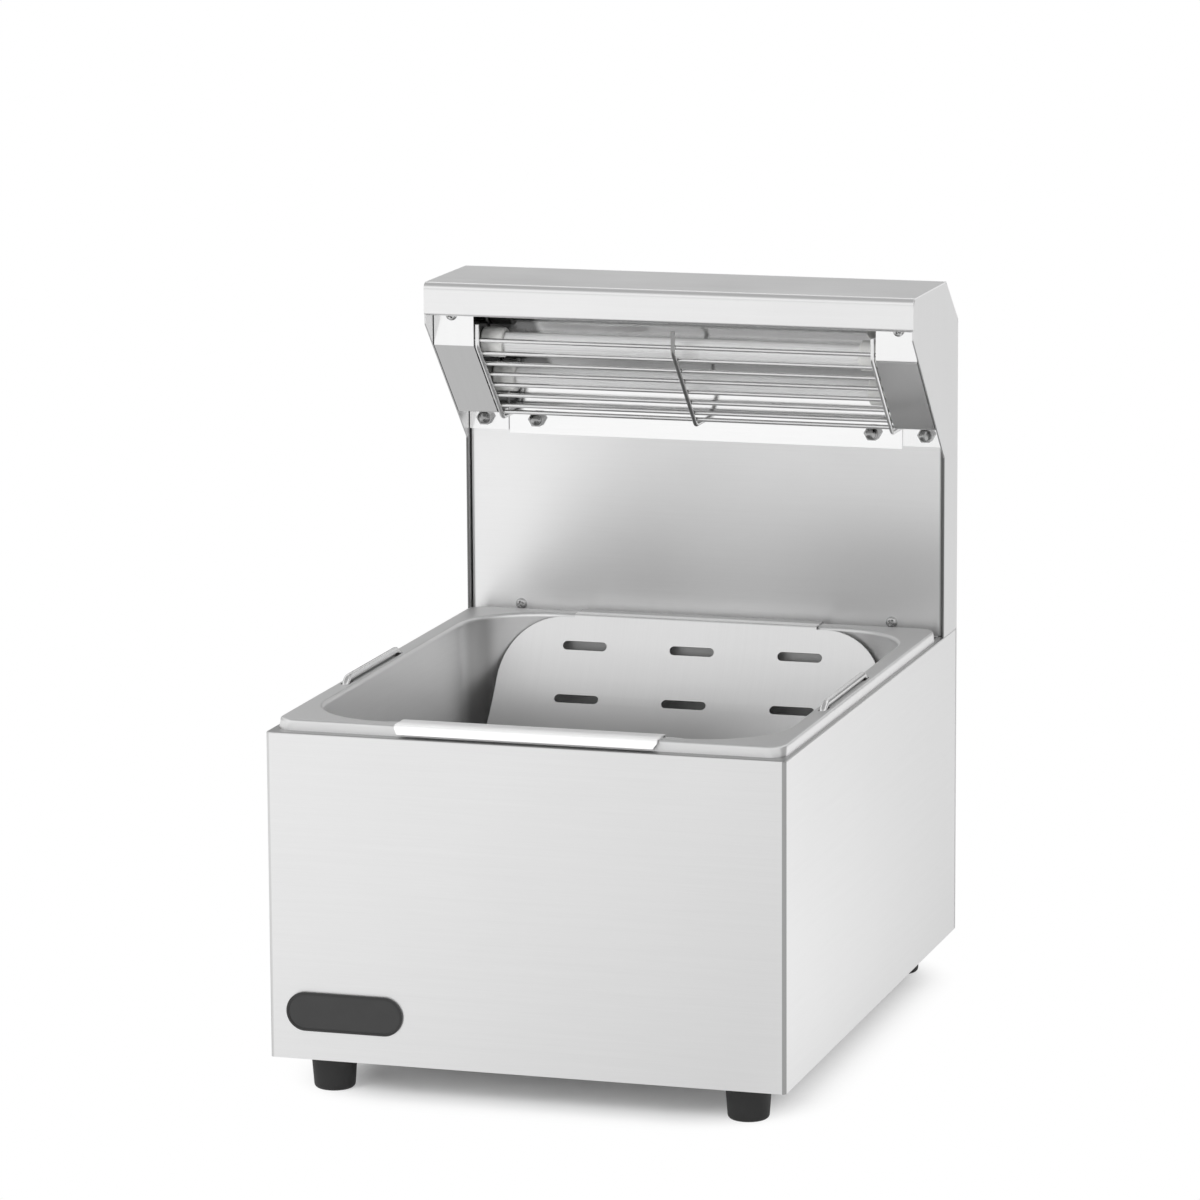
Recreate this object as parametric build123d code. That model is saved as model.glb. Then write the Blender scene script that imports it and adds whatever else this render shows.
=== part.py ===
from build123d import *
from math import cos, degrees, atan2, radians, sin, sqrt, tan
import os

os.makedirs("parts", exist_ok=True)

# Countertop fry warmer: a sheet steel box with a lift-out pan, and a lamp hood on a column behind it.
# X runs to the right, Y to the back, Z up. The origin is under the middle, on the table.

# Body box, over the outside
body_w = 350.0
body_d = 462.0
body_h = 218.0
sheet = 1.0
fold_r = 1.5            # inside radius of a fold
top_edge_r = 1.2        # outside radius of the deck's edge
deck_front = 12.0       # width of the deck strip along the front
deck_side = 5.0         # width of the deck strips along the sides
bottom_flange = 50.0
rear_flange = 15.0
seam = 0.5              # gap between neighbouring sheets

# Feet
foot_h = 26.0
foot_top_d = 31.0
foot_base_d = 27.0
foot_edge_r = 3.0
foot_inset_x = 33.3
foot_inset_y = 31.5
foot_recess_d = 13.0
foot_recess_h = 12.0

# Badge plate on the front
badge_w = 80.0
badge_h = 26.0
badge_t = 2.0
badge_rim = 1.6
badge_sink = 0.5
badge_inset = 12.0      # from the body's left side
badge_rise = 32.5       # centre above the body's bottom edge

# Food pan
pan_sheet = 1.0
pan_gap_front = 8.0     # lip to the front of the body
pan_gap_side = 3.0
pan_gap_rear = 7.5      # lip to the splash
pan_lip_h = 7.0
pan_lip_flare = 1.0
pan_lip_r = 2.0
pan_outer_r = 12.0
pan_flange = 13.6       # lip's foot to the wall
pan_corner_r = 55.0
pan_rim_r = 3.0         # outside radius of the bend from the flange into the wall
pan_depth = 150.0
pan_floor_r = 22.0
pan_draft = 2.0         # degrees

# Wire handles on the pan's long sides
handle_d = 5.0
handle_span = 112.0     # between the two legs
handle_bend_r = 9.0
handle_travel = 30.0
handle_back = -30.0     # from the pan's middle
handle_inset = 6.8      # from the lip's foot to the wire
handle_gap = 0.3
handle_stop_d = 7.5
handle_stop_h = 3.0
guide_drop = 14.0       # flange to the guide's leaf
guide_t = 1.5
guide_leaf_h = 16.0
guide_margin = 14.0     # guide past each leg
guide_gap = 0.5         # guide's free edge to the deck's opening

# Slotted curved insert in the pan
insert_t = 1.0
insert_side_gap = 18.4  # free edges to the pan's side walls
insert_tab_w = 177.0
insert_corner_r = 45.0
insert_rim_drop = 1.4   # ends of the curve below the flange
insert_floor_gap = 16.8  # lowest point above the pan's floor
insert_wall_gap = 4.0   # tabs to the pan's end walls
insert_hook_gap = 0.5
insert_hook_h = 6.0
insert_hook_lean = 3.0  # hook's lower edge ahead of its fold
insert_hook_taper = 3.0  # hook narrower at its lower edge, each end
slot_l = 32.4
slot_w = 6.5
slot_pitch_x = 78.7
slot_rows = 12
slot_edge = 20.5        # first row to the free edge

# Column and hood, set out from the back of the body
column_d = 40.0
splash_set = 5.5        # splash behind the panels' front edges
splash_top_gap = 2.0    # splash's top under the reflector's bend
splash_return = 15.0
upstand_h = 22.0
rear_deck_d = 12.0      # rear deck in front of the splash
rear_deck_fold = 10.0
hood_rise = 251.0       # deck to the hood's top
hood_d = 131.0
lip_h = 23.0
lip_fold_r = 4.0
lip_hem = 8.0
hood_slope_d = 36.0
hood_slope_h = 31.0
hood_tail = 12.0
slant_start = 6.0       # panels' upright stretch under the lip
throat_h = 129.0        # deck to the foot of the slanted edge
panel_corner_r = 6.0
panel_flange = 14.0

# Lamp brackets and their clips
bracket_set = 17.5      # behind the lip
bracket_w = 29.0
bracket_gap = 0.5       # to the side panel
bracket_top = 12.0      # below the hood's top
bracket_foot = 26.0     # lower end in front of the splash
bracket_tab_h = 16.0
cheek_past = 4.0        # cheek behind the reflector
clip_w = 16.0
clip_inset = 16.0       # clip's middle from the cheek's inner face
clip_d = 18.0
clip_h = 34.0
bracket_screw_drop = 24.4

# Lamps, set out along the slanted face from its upper end
tube_d = 15.0
tube_wall = 1.25
tube_end_gap = 0.5      # tube's end to the bottom of its socket
lamp_gap = 2.4          # cap behind the guard
lamp_first = 16.9
lamp_pitch = 39.0
cap_d = 21.0
cap_neck_d = 17.0
cap_grip = 16.0         # cap in front of the bracket's cheek
cap_tail = 7.0
cap_socket = 10.0
cap_edge = 0.8
element_d = 5.0
element_pin_d = 2.4
element_short = 7.0     # element short of the tube's end

# Wire guard
wire_d = 3.0
wire_weld = 0.4         # how far crossing wires are pressed together
wire_first = 11.2
wire_last = 5.1         # last row held by the cheeks to the slanted face's lower end
wire_rows = 6
wire_rise = 4.0         # upright row above the bend
wire_end = 3.0          # past the cheek's inner face
wire_past = 2.5         # lowest row past the slanted face's lower end
guard_bend_r = 6.0
guard_side_gap = 1.0
guard_proud = 1.0       # cross wires in front of the slanted face
guard_top = 11.4        # cross wires above the upright row
guard_past = 5.5        # cross wires' lower bend past the slanted face's lower end

# Reflector behind the tubes
reflector_t = 0.8
reflector_gap = 4.0     # behind the caps
reflector_rise = 21.6   # above the slanted face's upper end, along it
reflector_tab_h = 18.2  # lower edge below the slanted face's lower end
reflector_end_gap = 1.0

# Fasteners
hole_gap = 0.25         # round a screw
nut_drop = 7.2          # dome nuts below the slanted face's lower end
nut_in_inset = 21.6     # inner nuts from the cheeks
nut_out_inset = 12.1    # outer nuts from the brackets' outer edges
m6_d = 6.0
m6_nut_af = 10.0
m6_nut_h = 5.0
m6_dome_d = 9.2
m6_head_d = 10.5
m6_head_h = 3.5
m5_d = 5.0
m5_head_d = 9.5
m5_head_h = 3.2
m5_nut_af = 8.0
m5_nut_h = 4.0
m4_d = 4.0
m4_head_d = 8.0
m4_head_h = 2.4
thread_gap = 0.1
head_bevel = 1.2
splash_screw_inset = 38.6
splash_screw_rise = 8.5
back_screw_inset = 8.0
back_screw_end = 14.0

# Switch, terminal block and cable gland in the column
switch_inset = 85.0     # from the body's right side
switch_rise = 125.0
switch_w = 20.0
switch_h = 30.0
switch_depth = 22.0
bezel_rim = 2.0
bezel_t = 2.0
window_w = 14.0
window_h = 24.8
window_depth = 9.0
rocker_gap = 0.4
rocker_h = 21.6
rocker_peak = 4.6
rocker_valley = 3.2
rocker_back = 3.0
rocker_tilt = 6.0
pivot_d = 2.4
pivot_fit = 0.08
pivot_reach = 1.4
pivot_set = 2.6         # pivot behind the bezel's face
block_w = 48.0
block_d = 16.0
block_h = 22.0
block_rise = 63.0
block_poles = 3
pole_d = 7.0
pole_depth = 5.0
gland_inset = 85.0      # from the body's left side
gland_rise = 40.0
gland_af = 22.0
gland_flange_h = 5.0
gland_cap_d = 19.0
gland_cap_h = 13.0
gland_cap_r = 4.0
gland_bore_d = 9.0
gland_stub_d = 16.0
gland_stub_l = 12.0
locknut_h = 4.5
vent_l = 22.0
vent_w = 4.0
vent_pitch = 14.0
vent_count = 13
vent_rise = 185.0

# Leads inside the column
lead_d = 3.0
lead_bend_r = 7.0
lead_gap = 0.3          # cap to lead
lead_out_low = 8.0      # lower lamp's lead, out from its cap
lead_out_high = 14.0
lead_back = 8.0         # behind the splash
lead_split = 6.0        # from the terminal block's middle
switch_lead_back = 13.0
switch_lead_split = 5.0
switch_lead_levels = (26.0, 16.0)

# Derived places
gland_proud = gland_flange_h + gland_cap_h
front_y = (badge_t - body_d - gland_proud) / 2
rear_y = front_y + body_d
half_w = body_w / 2
deck_z = foot_h + body_h
panel_y = rear_y - column_d
splash_y = panel_y + splash_set
splash_back_y = splash_y + sheet
hood_z = deck_z + hood_rise
lip_y = rear_y - hood_d
lip_z = hood_z - lip_h
slant_top_z = lip_z - slant_start
slant_low_z = deck_z + throat_h

# The slanted face runs from the bend under the lip down to the column
slant_rise = (slant_top_z - slant_low_z) / (panel_y - lip_y - sheet)
slant_len = sqrt(1 + slant_rise**2)
bracket_y = lip_y + bracket_set
knee_z = slant_top_z - (bracket_y - lip_y - sheet) * slant_rise
face_d = splash_y - bracket_foot - bracket_y
face_l = face_d * slant_len
face_low_z = knee_z - face_d * slant_rise
bracket_out = half_w - sheet - bracket_gap
bracket_in = bracket_out - bracket_w
clip_x = bracket_in + clip_inset
nut_z = face_low_z - nut_drop
wire_pitch = (face_l - wire_first - wire_last) / (wire_rows - 1)
row_set = 1.5 * wire_d - wire_weld - guard_proud
lamp_set = row_set + wire_d / 2 + lamp_gap + cap_d / 2
reflector_set = lamp_set + cap_d / 2 + reflector_gap
reflector_y = splash_y - reflector_t
tube_l = 2 * (bracket_in - cap_grip + cap_socket - tube_end_gap)
switch_x = half_w - switch_inset
gland_x = gland_inset - half_w
badge_x = badge_inset + badge_w / 2 - half_w

pan_foot_w = body_w - 2 * pan_gap_side
pan_foot_l = splash_y - front_y - pan_gap_front - pan_gap_rear
pan_y = front_y + pan_gap_front + pan_foot_l / 2
flange_z = deck_z + pan_lip_h
well_w = pan_foot_w - 2 * pan_flange
well_l = pan_foot_l - 2 * pan_flange
handle_x = pan_foot_w / 2 - handle_inset
handle_y = pan_y + handle_back
handle_bar_z = flange_z + handle_gap + handle_d / 2
stop_top_z = flange_z - guide_drop - guide_t - handle_travel - seam


def slant(along, behind):
    """Point (y, z) at a distance along the slanted face and behind it."""
    down = (1 / slant_len, -slant_rise / slant_len)
    back = (slant_rise / slant_len, 1 / slant_len)
    return (
        bracket_y + along * down[0] + behind * back[0],
        knee_z + along * down[1] + behind * back[1],
    )


def on_slant_at_y(y, behind):
    """Point (y, z) on the line that runs behind the slanted face, at a given y."""
    y0, z0 = slant(0, behind)
    return (y, z0 - (y - y0) * slant_rise)


def on_slant_at_z(z, behind):
    """Point (y, z) on the line that runs behind the slanted face, at a given z."""
    y0, z0 = slant(0, behind)
    return (y0 + (z0 - z) / slant_rise, z)


def folded(points, thickness, radii):
    """Section of sheet folded along points, lying to the right of the line; radii are inside ones."""
    line = [Vector(*p) for p in points]
    steps = [(b - a).normalized() for a, b in zip(line, line[1:])]
    rights = [Vector(s.Y, -s.X) for s in steps]
    other = [line[0] + rights[0] * thickness]
    line_radii = [0]
    other_radii = [0]
    for i, corner in enumerate(line[1:-1]):
        bisector = (rights[i] + rights[i + 1]).normalized()
        other.append(corner + bisector * (thickness / bisector.dot(rights[i])))
        turns_right = steps[i].cross(steps[i + 1]).Z < 0
        line_radii.append(radii[i] + thickness * turns_right)
        other_radii.append(radii[i] + thickness * (not turns_right))
    other.append(line[-1] + rights[-1] * thickness)
    outline = line + other[::-1]
    corner_radii = line_radii + [0, 0] + other_radii[::-1] + [0]
    corner_radii = corner_radii[: len(outline)]
    return make_face(FilletPolyline(*outline, radius=corner_radii, close=True))


def rounded(points, radii):
    """Face inside points, with a radius at each of them."""
    return make_face(FilletPolyline(*points, radius=radii, close=True))


def across(face, x_from, x_to):
    """Section drawn in (y, z), run from one x to another."""
    return extrude(Plane.YZ.offset(x_from) * face, amount=x_to - x_from)


def facing(x, y, z, direction):
    """Plane at a point, looking along direction, with its own x along the object's X."""
    return Plane(origin=(x, y, z), x_dir=(1, 0, 0), z_dir=direction)


def rod(x, y, z, direction, radius, length):
    """Round bar that starts at a point and runs along direction."""
    return extrude(Plane(origin=(x, y, z), z_dir=direction) * Circle(radius), amount=length)


def wire(points, bend, diameter):
    """Round wire along straight runs joined by arcs."""
    path = FilletPolyline(*points, radius=bend)
    start = Plane(origin=path @ 0, z_dir=path % 0)
    return sweep(start * Circle(diameter / 2), path=path)


def screw(diameter, head_d, head_h, length):
    """Round-headed screw: its head stands on z = 0 and its shank runs down from there."""
    head = extrude(Circle(head_d / 2), amount=head_h)
    head = chamfer(head.edges().sort_by(Axis.Z)[-1], head_bevel)
    return head + extrude(Circle(diameter / 2), amount=-length)


def hex_nut(across_flats, height, bore):
    """Plain hexagon nut standing on z = 0."""
    flats = RegularPolygon(across_flats / 2, 6, major_radius=False)
    return extrude(flats - Circle(bore / 2), amount=height)


def dome_nut():
    """Hexagon nut with a closed dome, standing on z = 0."""
    base = extrude(RegularPolygon(m6_nut_af / 2, 6, major_radius=False), amount=m6_nut_h)
    dome_r = m6_dome_d / 2
    dome = Pos(0, 0, m6_nut_h) * Sphere(dome_r)
    socket = extrude(Circle(m6_d / 2 + thread_gap), amount=m6_nut_h + thread_gap)
    return base + dome - socket


def at_feet():
    """Middles of the four feet, by name."""
    x = half_w - foot_inset_x
    rows = {"front": front_y + foot_inset_y, "rear": rear_y - foot_inset_y}
    sides = {"left": -x, "right": x}
    return {f"foot_{row}_{side}": (sx, ry) for row, ry in rows.items() for side, sx in sides.items()}


def make_foot(x, y):
    """Tapered rubber foot with a recess for its screw."""
    bore_r = m5_d / 2 + hole_gap
    section = Polyline(
        (bore_r, foot_recess_h),
        (foot_recess_d / 2, foot_recess_h),
        (foot_recess_d / 2, 0),
        (foot_base_d / 2, 0),
        (foot_top_d / 2, foot_h),
        (bore_r, foot_h),
        close=True,
    )
    face = make_face(section)
    rim = face.vertices().sort_by_distance((foot_base_d / 2, 0))[0]
    return Pos(x, y, 0) * revolve(Plane.XZ * fillet(rim, foot_edge_r), axis=Axis.Z)


def make_foot_screws():
    """One screw up through each foot."""
    grip = foot_h - foot_recess_h + 2 * sheet + m5_nut_h + sheet
    up = screw(m5_d, m5_head_d, m5_head_h, grip)
    return [facing(x, y, foot_recess_h, (0, 0, -1)) * up for x, y in at_feet().values()]


def make_foot_nuts():
    """One nut above the base plate for each foot screw."""
    nut = hex_nut(m5_nut_af, m5_nut_h, m5_d + 2 * thread_gap)
    return [Pos(x, y, foot_h + 2 * sheet) * nut for x, y in at_feet().values()]


def foot_holes(z, depth):
    """Clearance holes for the foot screws."""
    radius = m5_d / 2 + hole_gap
    return [rod(x, y, z, (0, 0, 1), radius, depth) for x, y in at_feet().values()]


def deck_outline():
    """Outline of the box from above, with rounded corners."""
    back = rear_y - sheet
    corners = [(-half_w, back), (-half_w, front_y), (half_w, front_y), (half_w, back)]
    outer_r = fold_r + sheet
    return rounded(corners, [outer_r] * 4)


def make_body_shell():
    """Front and sides from one sheet, with strips turned in at the top, the bottom and the back."""
    back = rear_y - sheet
    path = [
        (half_w - rear_flange, back),
        (half_w, back),
        (half_w, front_y),
        (-half_w, front_y),
        (-half_w, back),
        (-half_w + rear_flange, back),
    ]
    walls = extrude(Pos(0, 0, foot_h) * folded(path, sheet, [fold_r] * 4), amount=body_h)
    plate = extrude(deck_outline(), amount=sheet)
    deck_l = back - front_y - deck_front
    well = Pos(0, back, 0) * Box(body_w - 2 * deck_side, 2 * deck_l, 4 * sheet)
    floor_l = back - front_y - bottom_flange
    access = Pos(0, back, 0) * Box(body_w - 2 * bottom_flange, 2 * floor_l, 4 * sheet)
    shell = walls + Pos(0, 0, deck_z - sheet) * (plate - well)
    shell += Pos(0, 0, foot_h) * (plate - access)
    rims = [e for e in shell.edges() if is_deck_rim(e)]
    shell = fillet(rims, top_edge_r)
    for hole in foot_holes(foot_h - sheet, 4 * sheet):
        shell -= hole
    for x, z in body_back_screws():
        shell -= rod(x, rear_y - 3 * sheet, z, (0, 1, 0), m4_d / 2 + hole_gap, 4 * sheet)
    return shell


def is_deck_rim(edge):
    """True for an edge round the front and the sides of the deck."""
    middle = edge @ 0.5
    on_side = abs(middle.X) > half_w - sheet
    return abs(middle.Z - deck_z) < 0.01 and (on_side or middle.Y < front_y + sheet)


def body_back_screws():
    """Screws of the body's back panel, as (x, z)."""
    x = half_w - back_screw_inset
    low, high = foot_h + back_screw_end, deck_z - back_screw_end
    return [(s * x, z) for s in (-1, 1) for z in (low, (low + high) / 2, high)]


def column_back_screws():
    """Screws of the column's back cover, as (x, z)."""
    x = half_w - back_screw_inset
    low = deck_z + back_screw_end
    high = hood_z - hood_slope_h - hood_tail - back_screw_end
    return [(s * x, z) for s in (-1, 1) for z in (low, (low + high) / 2, high)]


def back_screws(places):
    """Short screws seated on the back of the object."""
    short = screw(m4_d, m4_head_d, m4_head_h, 4 * sheet)
    return [facing(x, rear_y, z, (0, 1, 0)) * short for x, z in places]


def make_body_back_panel():
    """Plain sheet that closes the back of the box."""
    panel = Pos(0, rear_y - sheet / 2, foot_h + body_h / 2) * Box(body_w, sheet, body_h)
    for x, z in body_back_screws():
        panel -= rod(x, rear_y - 2 * sheet, z, (0, 1, 0), m4_d / 2 + hole_gap, 3 * sheet)
    return panel


def make_base_plate():
    """Tray that closes the bottom, with its rim turned up."""
    width = body_w - 2 * (sheet + seam)
    length = body_d - 3 * sheet - 2 * seam
    rim_h = 8 * sheet
    middle_y = front_y + sheet + seam + length / 2
    tray = Pos(0, middle_y, foot_h + sheet + rim_h / 2) * Box(width, length, rim_h)
    inside = Box(width - 2 * sheet, length - 2 * sheet, rim_h)
    tray -= Pos(0, middle_y, foot_h + 2 * sheet + rim_h / 2) * inside
    for hole in foot_holes(foot_h, 4 * sheet):
        tray -= hole
    return tray


def make_badge_plate():
    """Bare plate with round ends and a sunk field."""
    plane = facing(badge_x, front_y, foot_h + badge_rise, (0, -1, 0))
    plate = extrude(plane * SlotOverall(badge_w, badge_h), amount=badge_t)
    front = plate.edges().group_by(Axis.Y)[0]
    plate = fillet(front, badge_sink)
    field = plane.offset(badge_t - badge_sink) * SlotOverall(
        badge_w - 2 * badge_rim, badge_h - 2 * badge_rim
    )
    return plate - extrude(field, amount=badge_sink)


def make_rear_deck():
    """Strip behind the pan: turned down in front, turned up behind the splash."""
    front = splash_y - rear_deck_d
    top = deck_z - sheet
    path = [
        (front, top - rear_deck_fold),
        (front, top),
        (splash_back_y, top),
        (splash_back_y, deck_z + upstand_h),
    ]
    reach = half_w - sheet - seam
    strip = across(folded(path, sheet, [fold_r] * 2), -reach, reach)
    clear_x = half_w - deck_side - seam
    ear = Box(2 * deck_side, 4 * (sheet + fold_r), 2 * upstand_h + 4 * sheet)
    for s in (-1, 1):
        strip -= Pos(s * (clear_x + deck_side), splash_back_y, deck_z - sheet + upstand_h) * ear
    for hole in splash_screw_holes():
        strip -= hole
    return strip


def splash_screw_places():
    """Screws at the foot of the splash, as (x, z)."""
    x = half_w - splash_screw_inset
    return [(s * x, deck_z + splash_screw_rise) for s in (-1, 1)]


def splash_screw_holes():
    """Clearance holes through the splash and the upstand."""
    radius = m4_d / 2 + hole_gap
    return [
        rod(x, splash_y - sheet, z, (0, 1, 0), radius, 4 * sheet) for x, z in splash_screw_places()
    ]


def make_splash_screws():
    """Two screws that hold the splash to the upstand."""
    short = screw(m4_d, m4_head_d, m4_head_h, 4 * sheet)
    return [facing(x, splash_y, z, (0, -1, 0)) * short for x, z in splash_screw_places()]


def nut_places():
    """Bolts with dome nuts: x, z and the y of the face that the nut seats on."""
    inner_x = bracket_in - nut_in_inset
    outer_x = bracket_out - nut_out_inset
    inner = [(s * inner_x, nut_z, reflector_y) for s in (-1, 1)]
    outer = [(s * outer_x, nut_z, splash_y - sheet) for s in (-1, 1)]
    return inner + outer


def nut_holes():
    """Clearance holes for the bolts."""
    radius = m6_d / 2 + hole_gap
    length = 6 * sheet
    return [rod(x, splash_y - length / 2, z, (0, 1, 0), radius, length) for x, z, y in nut_places()]


def make_column_splash():
    """Front sheet of the column, with both edges turned back."""
    edge = half_w - sheet - seam
    path = [
        (-edge, splash_y + splash_return),
        (-edge, splash_y),
        (edge, splash_y),
        (edge, splash_y + splash_return),
    ]
    section = folded(path[::-1], sheet, [fold_r] * 2)
    foot_z = deck_z + max(0, fold_r - sheet)
    top_z = on_slant_at_y(reflector_y, reflector_set)[1] - splash_top_gap
    splash = extrude(Pos(0, 0, foot_z) * section, amount=top_z - foot_z)
    foot_clear = Box(2 * body_w, splash_return, 2 * (sheet + seam))
    splash -= Pos(0, splash_back_y + splash_return / 2, deck_z) * foot_clear
    for hole in splash_screw_holes() + nut_holes():
        splash -= hole
    return splash


def make_side_panel(side):
    """Side of the column and hood, with strips turned in at the foot, the back and the top."""
    back = rear_y - sheet
    top = hood_z - sheet
    slope_y = rear_y - hood_slope_d
    slope = atan2(hood_slope_h, hood_slope_d)
    drop = sheet * (1 / cos(slope) - 1)
    slope_start = (slope_y - drop / tan(slope), top)
    slope_end = (back, hood_z - hood_slope_h - sheet / cos(slope) + sheet * tan(slope))
    outline = [
        (back, deck_z),
        slope_end,
        slope_start,
        (lip_y + sheet, top),
        (lip_y + sheet, slant_top_z),
        (panel_y, slant_low_z),
        (panel_y, deck_z),
    ]
    radii = [0, panel_corner_r, panel_corner_r, panel_corner_r, fold_r, fold_r, 0]
    panel = across(rounded(outline, radii), half_w - sheet, half_w)
    foot_l = back - splash_back_y - sheet - seam
    inner_x = half_w - panel_flange / 2
    foot = Box(panel_flange, foot_l - seam, sheet)
    panel += Pos(inner_x, back - foot_l / 2, deck_z + sheet / 2) * foot
    back_top = hood_z - hood_slope_h - hood_tail
    back_h = back_top - deck_z
    strip = Box(panel_flange, sheet, back_h)
    panel += Pos(inner_x, back - sheet / 2, deck_z + back_h / 2) * strip
    top_from = bracket_y + clip_d + 4 * sheet
    top_l = slope_y - 3 * sheet - top_from
    ledge = Box(panel_flange, top_l, sheet)
    panel += Pos(inner_x, top_from + top_l / 2, top - sheet / 2) * ledge
    for x, z in column_back_screws():
        panel -= rod(abs(x), rear_y - 3 * sheet, z, (0, 1, 0), m4_d / 2 + hole_gap, 4 * sheet)
    return panel if side > 0 else mirror(panel, about=Plane.YZ)


def make_hood_cover():
    """Lip, top and rear slope of the hood in one folded sheet."""
    path = [
        (lip_y + lip_hem, lip_z),
        (lip_y, lip_z),
        (lip_y, hood_z),
        (rear_y - hood_slope_d, hood_z),
        (rear_y, hood_z - hood_slope_h),
        (rear_y, hood_z - hood_slope_h - hood_tail),
    ]
    hood = across(folded(path, sheet, [fold_r, lip_fold_r, fold_r, fold_r]), -half_w, half_w)
    notch = Box(2 * (sheet + seam), 2 * lip_hem, 4 * (sheet + fold_r))
    for s in (-1, 1):
        hood -= Pos(s * half_w, lip_y + sheet + lip_hem, lip_z) * notch
    return hood


def make_column_back_cover():
    """Back of the column, with vents and the openings for the switch and the gland."""
    top = hood_z - hood_slope_h - hood_tail - seam
    height = top - deck_z - seam
    cover = Pos(0, rear_y - sheet / 2, deck_z + seam + height / 2) * Box(body_w, sheet, height)
    cut = 3 * sheet
    for x, z in column_back_screws():
        cover -= rod(x, rear_y - cut / 2, z, (0, 1, 0), m4_d / 2 + hole_gap, cut)
    window = Box(switch_w + 2 * hole_gap, cut, switch_h + 2 * hole_gap)
    cover -= Pos(switch_x, rear_y, deck_z + switch_rise) * window
    gland_r = gland_stub_d / 2 + hole_gap
    cover -= rod(gland_x, rear_y - cut / 2, deck_z + gland_rise, (0, 1, 0), gland_r, cut)
    for i in range(vent_count):
        x = (i - (vent_count - 1) / 2) * vent_pitch
        plane = Plane(
            origin=(x, rear_y - cut / 2, deck_z + vent_rise), x_dir=(0, 0, 1), z_dir=(0, 1, 0)
        )
        cover -= extrude(plane * SlotOverall(vent_l, vent_w), amount=cut)
    return cover


def lamp_places():
    """Middles (y, z) of the upper and the lower tube."""
    return {
        "upper": slant(lamp_first, lamp_set),
        "lower": slant(lamp_first + lamp_pitch, lamp_set),
    }


def guard_rows():
    """Middles (y, z) of the long wires that end in the brackets' cheeks."""
    slanted = [slant(wire_first + i * wire_pitch, row_set) for i in range(wire_rows)]
    return [(bracket_y + row_set, knee_z + wire_rise)] + slanted


def make_lamp_guard():
    """Long wires welded to three bent cross wires; the lowest one ends between the brackets."""
    side_x = bracket_in - guard_side_gap - wire_d / 2
    low_l = 2 * side_x + wire_d
    low_row = slant(face_l + wire_past, row_set)
    guard = rod(-low_l / 2, *low_row, (1, 0, 0), wire_d / 2, low_l)
    long_l = 2 * (bracket_in + wire_end)
    for y, z in guard_rows():
        guard += rod(-long_l / 2, y, z, (1, 0, 0), wire_d / 2, long_l)
    front = wire_d / 2 - guard_proud
    top_z = knee_z + wire_rise + guard_top
    bend_y, bend_z = on_slant_at_y(bracket_y + front, front)
    low_y, low_z = slant(face_l + guard_past, front)
    for x in (-side_x, 0, side_x):
        path = [
            (x, bracket_y + front, top_z),
            (x, bend_y, bend_z),
            (x, low_y, low_z),
            (x, reflector_y, low_z),
        ]
        guard += wire(path, guard_bend_r, wire_d)
    return guard


def make_reflector():
    """Polished sheet behind the tubes; its lower strip lies on the splash."""
    bend = on_slant_at_y(reflector_y, reflector_set)
    crest = slant(-reflector_rise, reflector_set)
    path = [
        (reflector_y, face_low_z - reflector_tab_h),
        bend,
        crest,
        (crest[0], hood_z - sheet),
    ]
    reach = bracket_in - reflector_end_gap
    mirror_sheet = across(folded(path, reflector_t, [fold_r] * 2), -reach, reach)
    for hole in nut_holes():
        mirror_sheet -= hole
    return mirror_sheet


def make_lamp_bracket(side):
    """Folded cover at the lamps' ends: face, tab on the splash, and a cheek that holds the caps."""
    low = (bracket_y + face_d, face_low_z)
    tab_y = splash_y - sheet
    path = [
        (tab_y, face_low_z - bracket_tab_h),
        (tab_y, face_low_z),
        low,
        (bracket_y, knee_z),
        (bracket_y, hood_z - bracket_top),
    ]
    face = across(folded(path, sheet, [fold_r] * 3), bracket_in, bracket_out)
    cheek_back_y = splash_y - seam
    cheek_set = reflector_set + cheek_past
    cheek_points = [
        (bracket_y, hood_z - bracket_top),
        (bracket_y, knee_z),
        low,
        (cheek_back_y, face_low_z),
        on_slant_at_y(cheek_back_y, cheek_set),
        on_slant_at_z(hood_z - bracket_top, cheek_set),
    ]
    outer_r = fold_r + sheet
    cheek = across(
        rounded(cheek_points, [0, outer_r, outer_r, 0, 0, 0]), bracket_in, bracket_in + sheet
    )
    bracket = face + cheek
    for y, z in lamp_places().values():
        bracket -= rod(bracket_in - sheet, y, z, (1, 0, 0), cap_neck_d / 2 + hole_gap, 3 * sheet)
    for y, z in guard_rows():
        bracket -= rod(bracket_in - sheet, y, z, (1, 0, 0), wire_d / 2 + hole_gap, 3 * sheet)
    screw_z = hood_z - bracket_screw_drop
    bracket -= rod(clip_x, bracket_y - sheet, screw_z, (0, 1, 0), m4_d / 2 + hole_gap, 4 * sheet)
    for hole in nut_holes():
        bracket -= hole
    return bracket if side > 0 else mirror(bracket, about=Plane.YZ)


def make_hood_clip(side):
    """Angle under the hood's top that a lamp bracket is screwed to."""
    front = bracket_y + sheet
    top = hood_z - sheet
    path = [(front, top - clip_h), (front, top), (front + clip_d, top)]
    clip = across(folded(path, sheet, [fold_r]), clip_x - clip_w / 2, clip_x + clip_w / 2)
    screw_z = hood_z - bracket_screw_drop
    clip -= rod(clip_x, front - sheet, screw_z, (0, 1, 0), m4_d / 2 + hole_gap, 4 * sheet)
    return clip if side > 0 else mirror(clip, about=Plane.YZ)


def make_bracket_screws():
    """One screw under the lip for each lamp bracket."""
    short = screw(m4_d, m4_head_d, m4_head_h, 4 * sheet)
    z = hood_z - bracket_screw_drop
    return [facing(s * clip_x, bracket_y, z, (0, -1, 0)) * short for s in (-1, 1)]


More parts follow.
